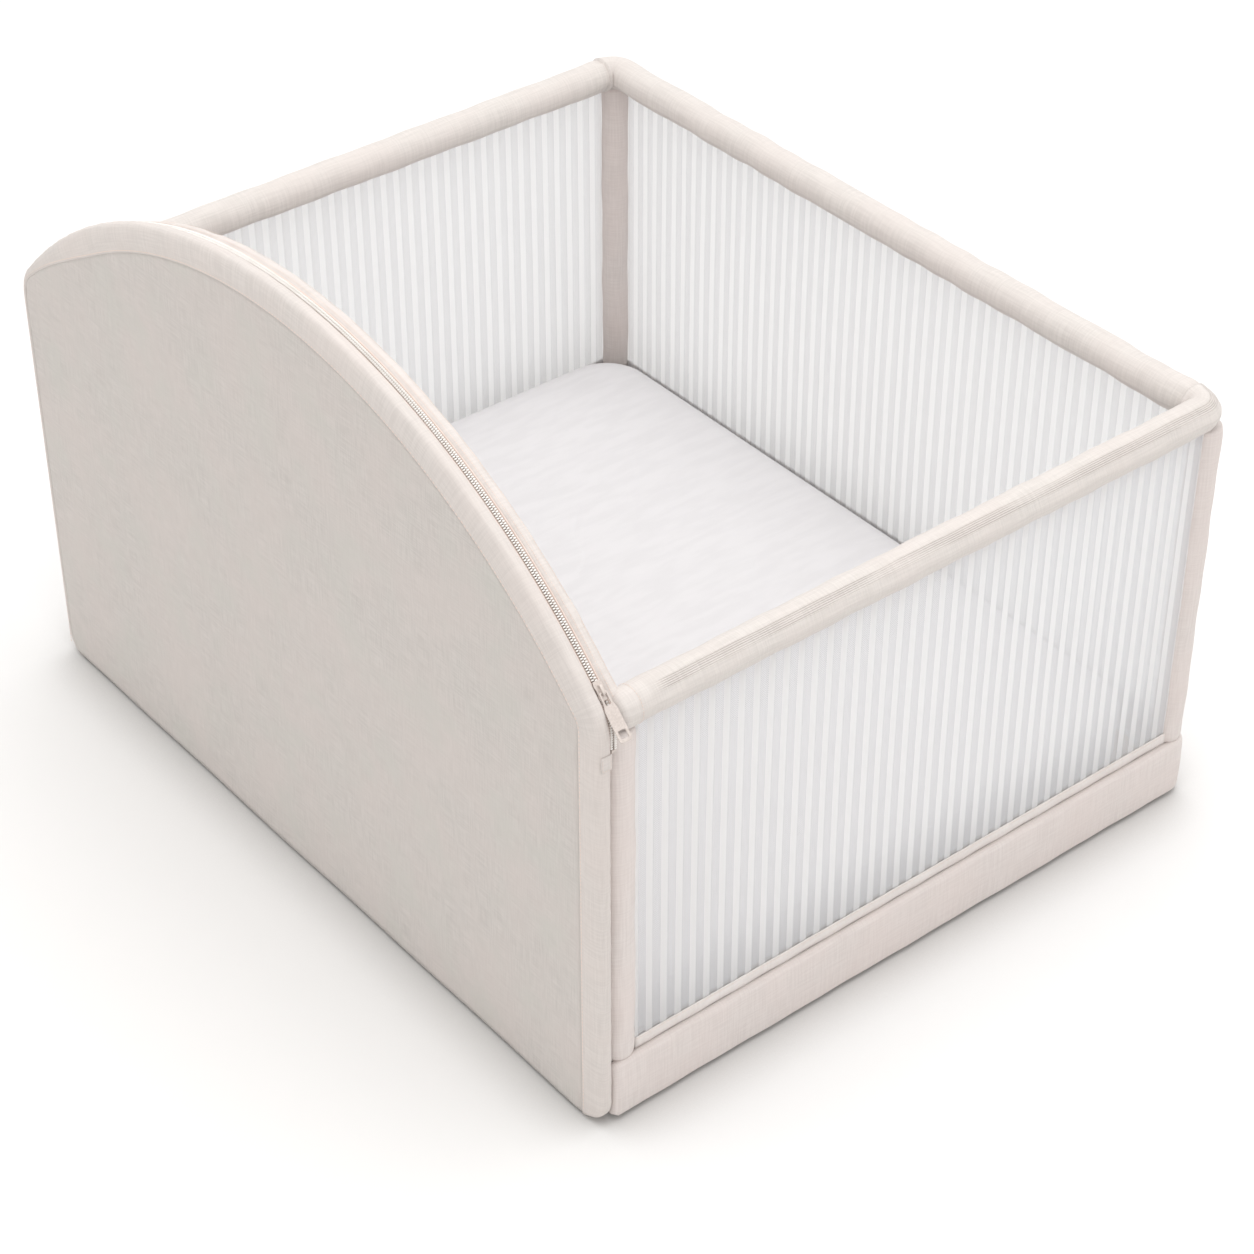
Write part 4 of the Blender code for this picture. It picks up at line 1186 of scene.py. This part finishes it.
def makeSlider():
    y, z = archPoint(zipper["inset"], sliderAngle)
    place = Matrix.Translation((zipX, y, z)) @ Matrix.Rotation(sliderAngle, 4, "X")
    # Upper plate: broad shoulders where the two rows part, narrow waist where they close
    plate = [
        (0.0036, 0.0110), (0.0050, 0.0096), (0.0056, 0.0056), (0.0047, 0.0006), (0.0051, -0.0044),
        (0.0061, -0.0080), (0.0057, -0.0103), (0.0039, -0.0112)
    ]
    outline = plate + [(-u, v) for u, v in plate[::-1]]
    body = bevelled(
        "slider_plate", [outline], 0.0018, 0.0005, cloths["metal"], "slider",
        place @ Matrix.Translation((0, 0, 0.0017))
    )
    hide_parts("zip_slider")
    # Bridge that the pull hangs on, arched along the chain
    under, top = 0.0057, 0.0074
    arch = [
        (0.0061, 0.0018), (0.0061, 0.0052), (0.0056, 0.0066), (0.0044, top), (-0.0044, top), (-0.0056, 0.0066),
        (-0.0061, 0.0052), (-0.0061, 0.0018), (-0.0045, 0.0018), (-0.0045, 0.0050), (-0.0038, under),
        (0.0038, under), (0.0045, 0.0050), (0.0045, 0.0018),
    ]
    turned = place @ Matrix.Rotation(math.radians(90), 4, "Z") @ Matrix.Rotation(math.radians(90), 4, "X")
    bevelled("slider_bridge", [arch], 0.0030, 0.0005, cloths["metal"], "slider", turned)
    # Side rims fold down over the teeth on the frame's side
    rim = [
        (0.0046, 0.0085), (0.0052, 0.0078), (0.0052, -0.0078), (0.0046, -0.0085), (0.0037, -0.0080),
        (0.0037, 0.0080)
    ]
    bevelled(
        "slider_rim", [rim], 0.0030, 0.0004, cloths["metal"], "slider",
        place @ Matrix.Translation((0, 0, 0.0002))
    )

    # Pull: long open eye round the bridge, broad tab with a square window near its end
    pivot = place @ Matrix.Translation((0, -0.003, 0.0041))
    half, long, bar = 0.0080, 0.056, 0.0012
    outer = [
        (0.0034, bar), (0.0050, 0.0002), (0.0056, -0.0112), (0.0066, -0.0150), (half - 0.0002, -0.0185),
        (half, -0.0220), (half, -long + 0.0030), (half - 0.0008, -long + 0.0010), (half - 0.0026, -long),
    ]
    eye = roundedBox(0.0033, -0.0008, -0.0140, 0.0012)[::-1]
    window = roundedBox(0.0049, -long + 0.0132, -long + 0.0040, 0.0009)[::-1]
    tab = bevelled(
        "pull_tab", [outer + [(-u, v) for u, v in outer[::-1]], eye, window], 0.0017, 0.0005,
        cloths["metal"], "pull", pivot
    )
    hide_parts("zip_pull")

    # Cloth tab sewn on the side's front edge beside the end of the chain
    low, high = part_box("zip_garage")
    x = np.linspace(low.x, high.x, 12)
    zAll = np.linspace(low.z, high.z, 12)
    puff = 0.0006 * np.sin(
        math.pi * np.linspace(0, 1, 12)
    )[:, None] * np.sin(math.pi * np.linspace(0, 1, 12))[None, :]
    front = np.stack(np.broadcast_arrays(x[:, None], low.y - puff + 0.0003, zAll[None, :]), 2).astype(float)
    back = np.stack(np.broadcast_arrays(x[:, None], high.y, zAll[None, :]), 2).astype(float)
    uv = np.stack(np.broadcast_arrays(x[:, None], zAll[None, :]), 2)
    tab = makeSlab("zip_end_tab", front, back, uv, cloths["border"], "side")
    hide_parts("zip_garage")
    a, b = low + Vector((0.0016, -0.0002, 0.0016)), high - Vector((0.0016, 0, 0.0016))
    loop = [(a.x, low.y, b.z), (a.x, low.y, a.z), (b.x, low.y, a.z), (b.x, low.y, b.z)]
    stitchRow("zip_end_tab_stitches", loop, (0, -1, 0), "side", length=0.002, gap=0.001, thick=0.00028)
    print("slider made")


def makeHinge():
    # Cloth hinge: from the floor line inside the frame to the underside of the arched side
    low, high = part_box("hinge_strip")
    y = np.linspace(low.y, high.y, 90)
    runs = [
        (high.x, 0.0062), (high.x - 0.012, 0.0061), (panelIn + 0.008, 0.0058), (panelIn + 0.003, 0.0050),
        (panelIn - 0.001, 0.0043), (panelIn - 0.004, 0.0039), (panelIn - 0.008, 0.0038), (panelIn - 0.013, 0.0038),
    ]
    upper, under = (np.empty((len(runs), len(y), 3)) for _ in range(2))
    for i, (x, z) in enumerate(runs):
        ripple = 0.0003 * np.sin(y * 60 + i)
        upper[i] = np.stack([np.full(len(y), x), y, z + ripple + 0.0004], 1)
        under[i] = np.stack([np.full(len(y), x), y, z + ripple - 0.0004], 1)
    uv = np.stack([upper[:, :, 1], upper[:, :, 0]], 2)
    piece = makeSlab("hinge_cloth", upper, under, uv, cloths["paintedLit"], None)
    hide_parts("hinge_strip")
    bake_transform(piece)


def dressFrame():
    kinds = (
        ("tube", "steel"), ("corner_block", "nylon"), ("foot_block", "nylon"), ("foot_front", "rubber"),
        ("foot_back", "rubber"), ("board", "board"), ("mattress_base", "board"), ("foam", "foam"),
        ("zip_stop", "metal"), ("zip_", "metal"),
    )
    for name, node in nodes.items():
        for word, kind in kinds:
            if word in name:
                for material in node.material_slots:
                    material.material = cloths[kind]
                break


def makeStudio():
    floor = bpy.data.meshes.new("studio_floor")
    size = 14
    floor.from_pydata(
        [(-size, -size, 0), (size, -size, 0), (size, size, 0), (-size, size, 0)], [], [(0, 1, 2, 3)]
    )
    ground = bpy.data.objects.new("studio_floor", floor)
    bpy.context.scene.collection.objects.link(ground)
    paper = Finish("paleFloor", Roughness=0.6, Specular_IOR_Level=0.2)
    # The floor is painted darker where the playpen stands close above it: a painted contact shadow, with near as
    # its shadow tone
    far, near = colour(238, 237, 236), colour(206, 204, 202)
    contactShadow = paper.node("ShaderNodeAmbientOcclusion", {"samples": 8}, out=1, Distance=0.10)
    paper.feed("Base Color", paper.blend(contactShadow.ramp(0.40, 0.98), near, far))
    floor.materials.append(paper.material)
    scene = bpy.context.scene
    scene.world = bpy.data.worlds.new("studio")
    scene.world.use_nodes = True
    back = scene.world.node_tree.nodes["Background"]
    back.inputs[0].default_value = (1.0, 0.997, 0.992, 1)
    back.inputs[1].default_value = 1.03
    for name, place, aim, size, power in (
        ("top", (0.1, -0.3, 4.2), (0, 0, 0), 4.0, 83),
    ):
        lamp = bpy.data.lights.new(name, "AREA")
        lamp.size = size
        lamp.energy = power
        light = bpy.data.objects.new(name, lamp)
        light.location = place
        light.rotation_euler = (Vector(place) - Vector(aim)).to_track_quat("Z", "Y").to_euler()
        scene.collection.objects.link(light)
    scene.view_settings.view_transform = "Standard"
    lens = bpy.data.cameras.new("view")
    lens.lens = 89.11
    lens.sensor_width = 36
    lens.clip_end = 60
    camera = bpy.data.objects.new("view", lens)
    camera.location = (-2.002, -2.5087, 2.5866)
    camera.rotation_euler = (math.radians(52.77), 0, math.radians(-38.98))
    scene.collection.objects.link(camera)
    scene.camera = camera


makeStudio()
dressFrame()
makeSide()
makeRails()
makePosts()
makeArchSleeve()
makePlinth()
makeWalls()
makeMattress()
makeZip()
makeSlider()
makeHinge()
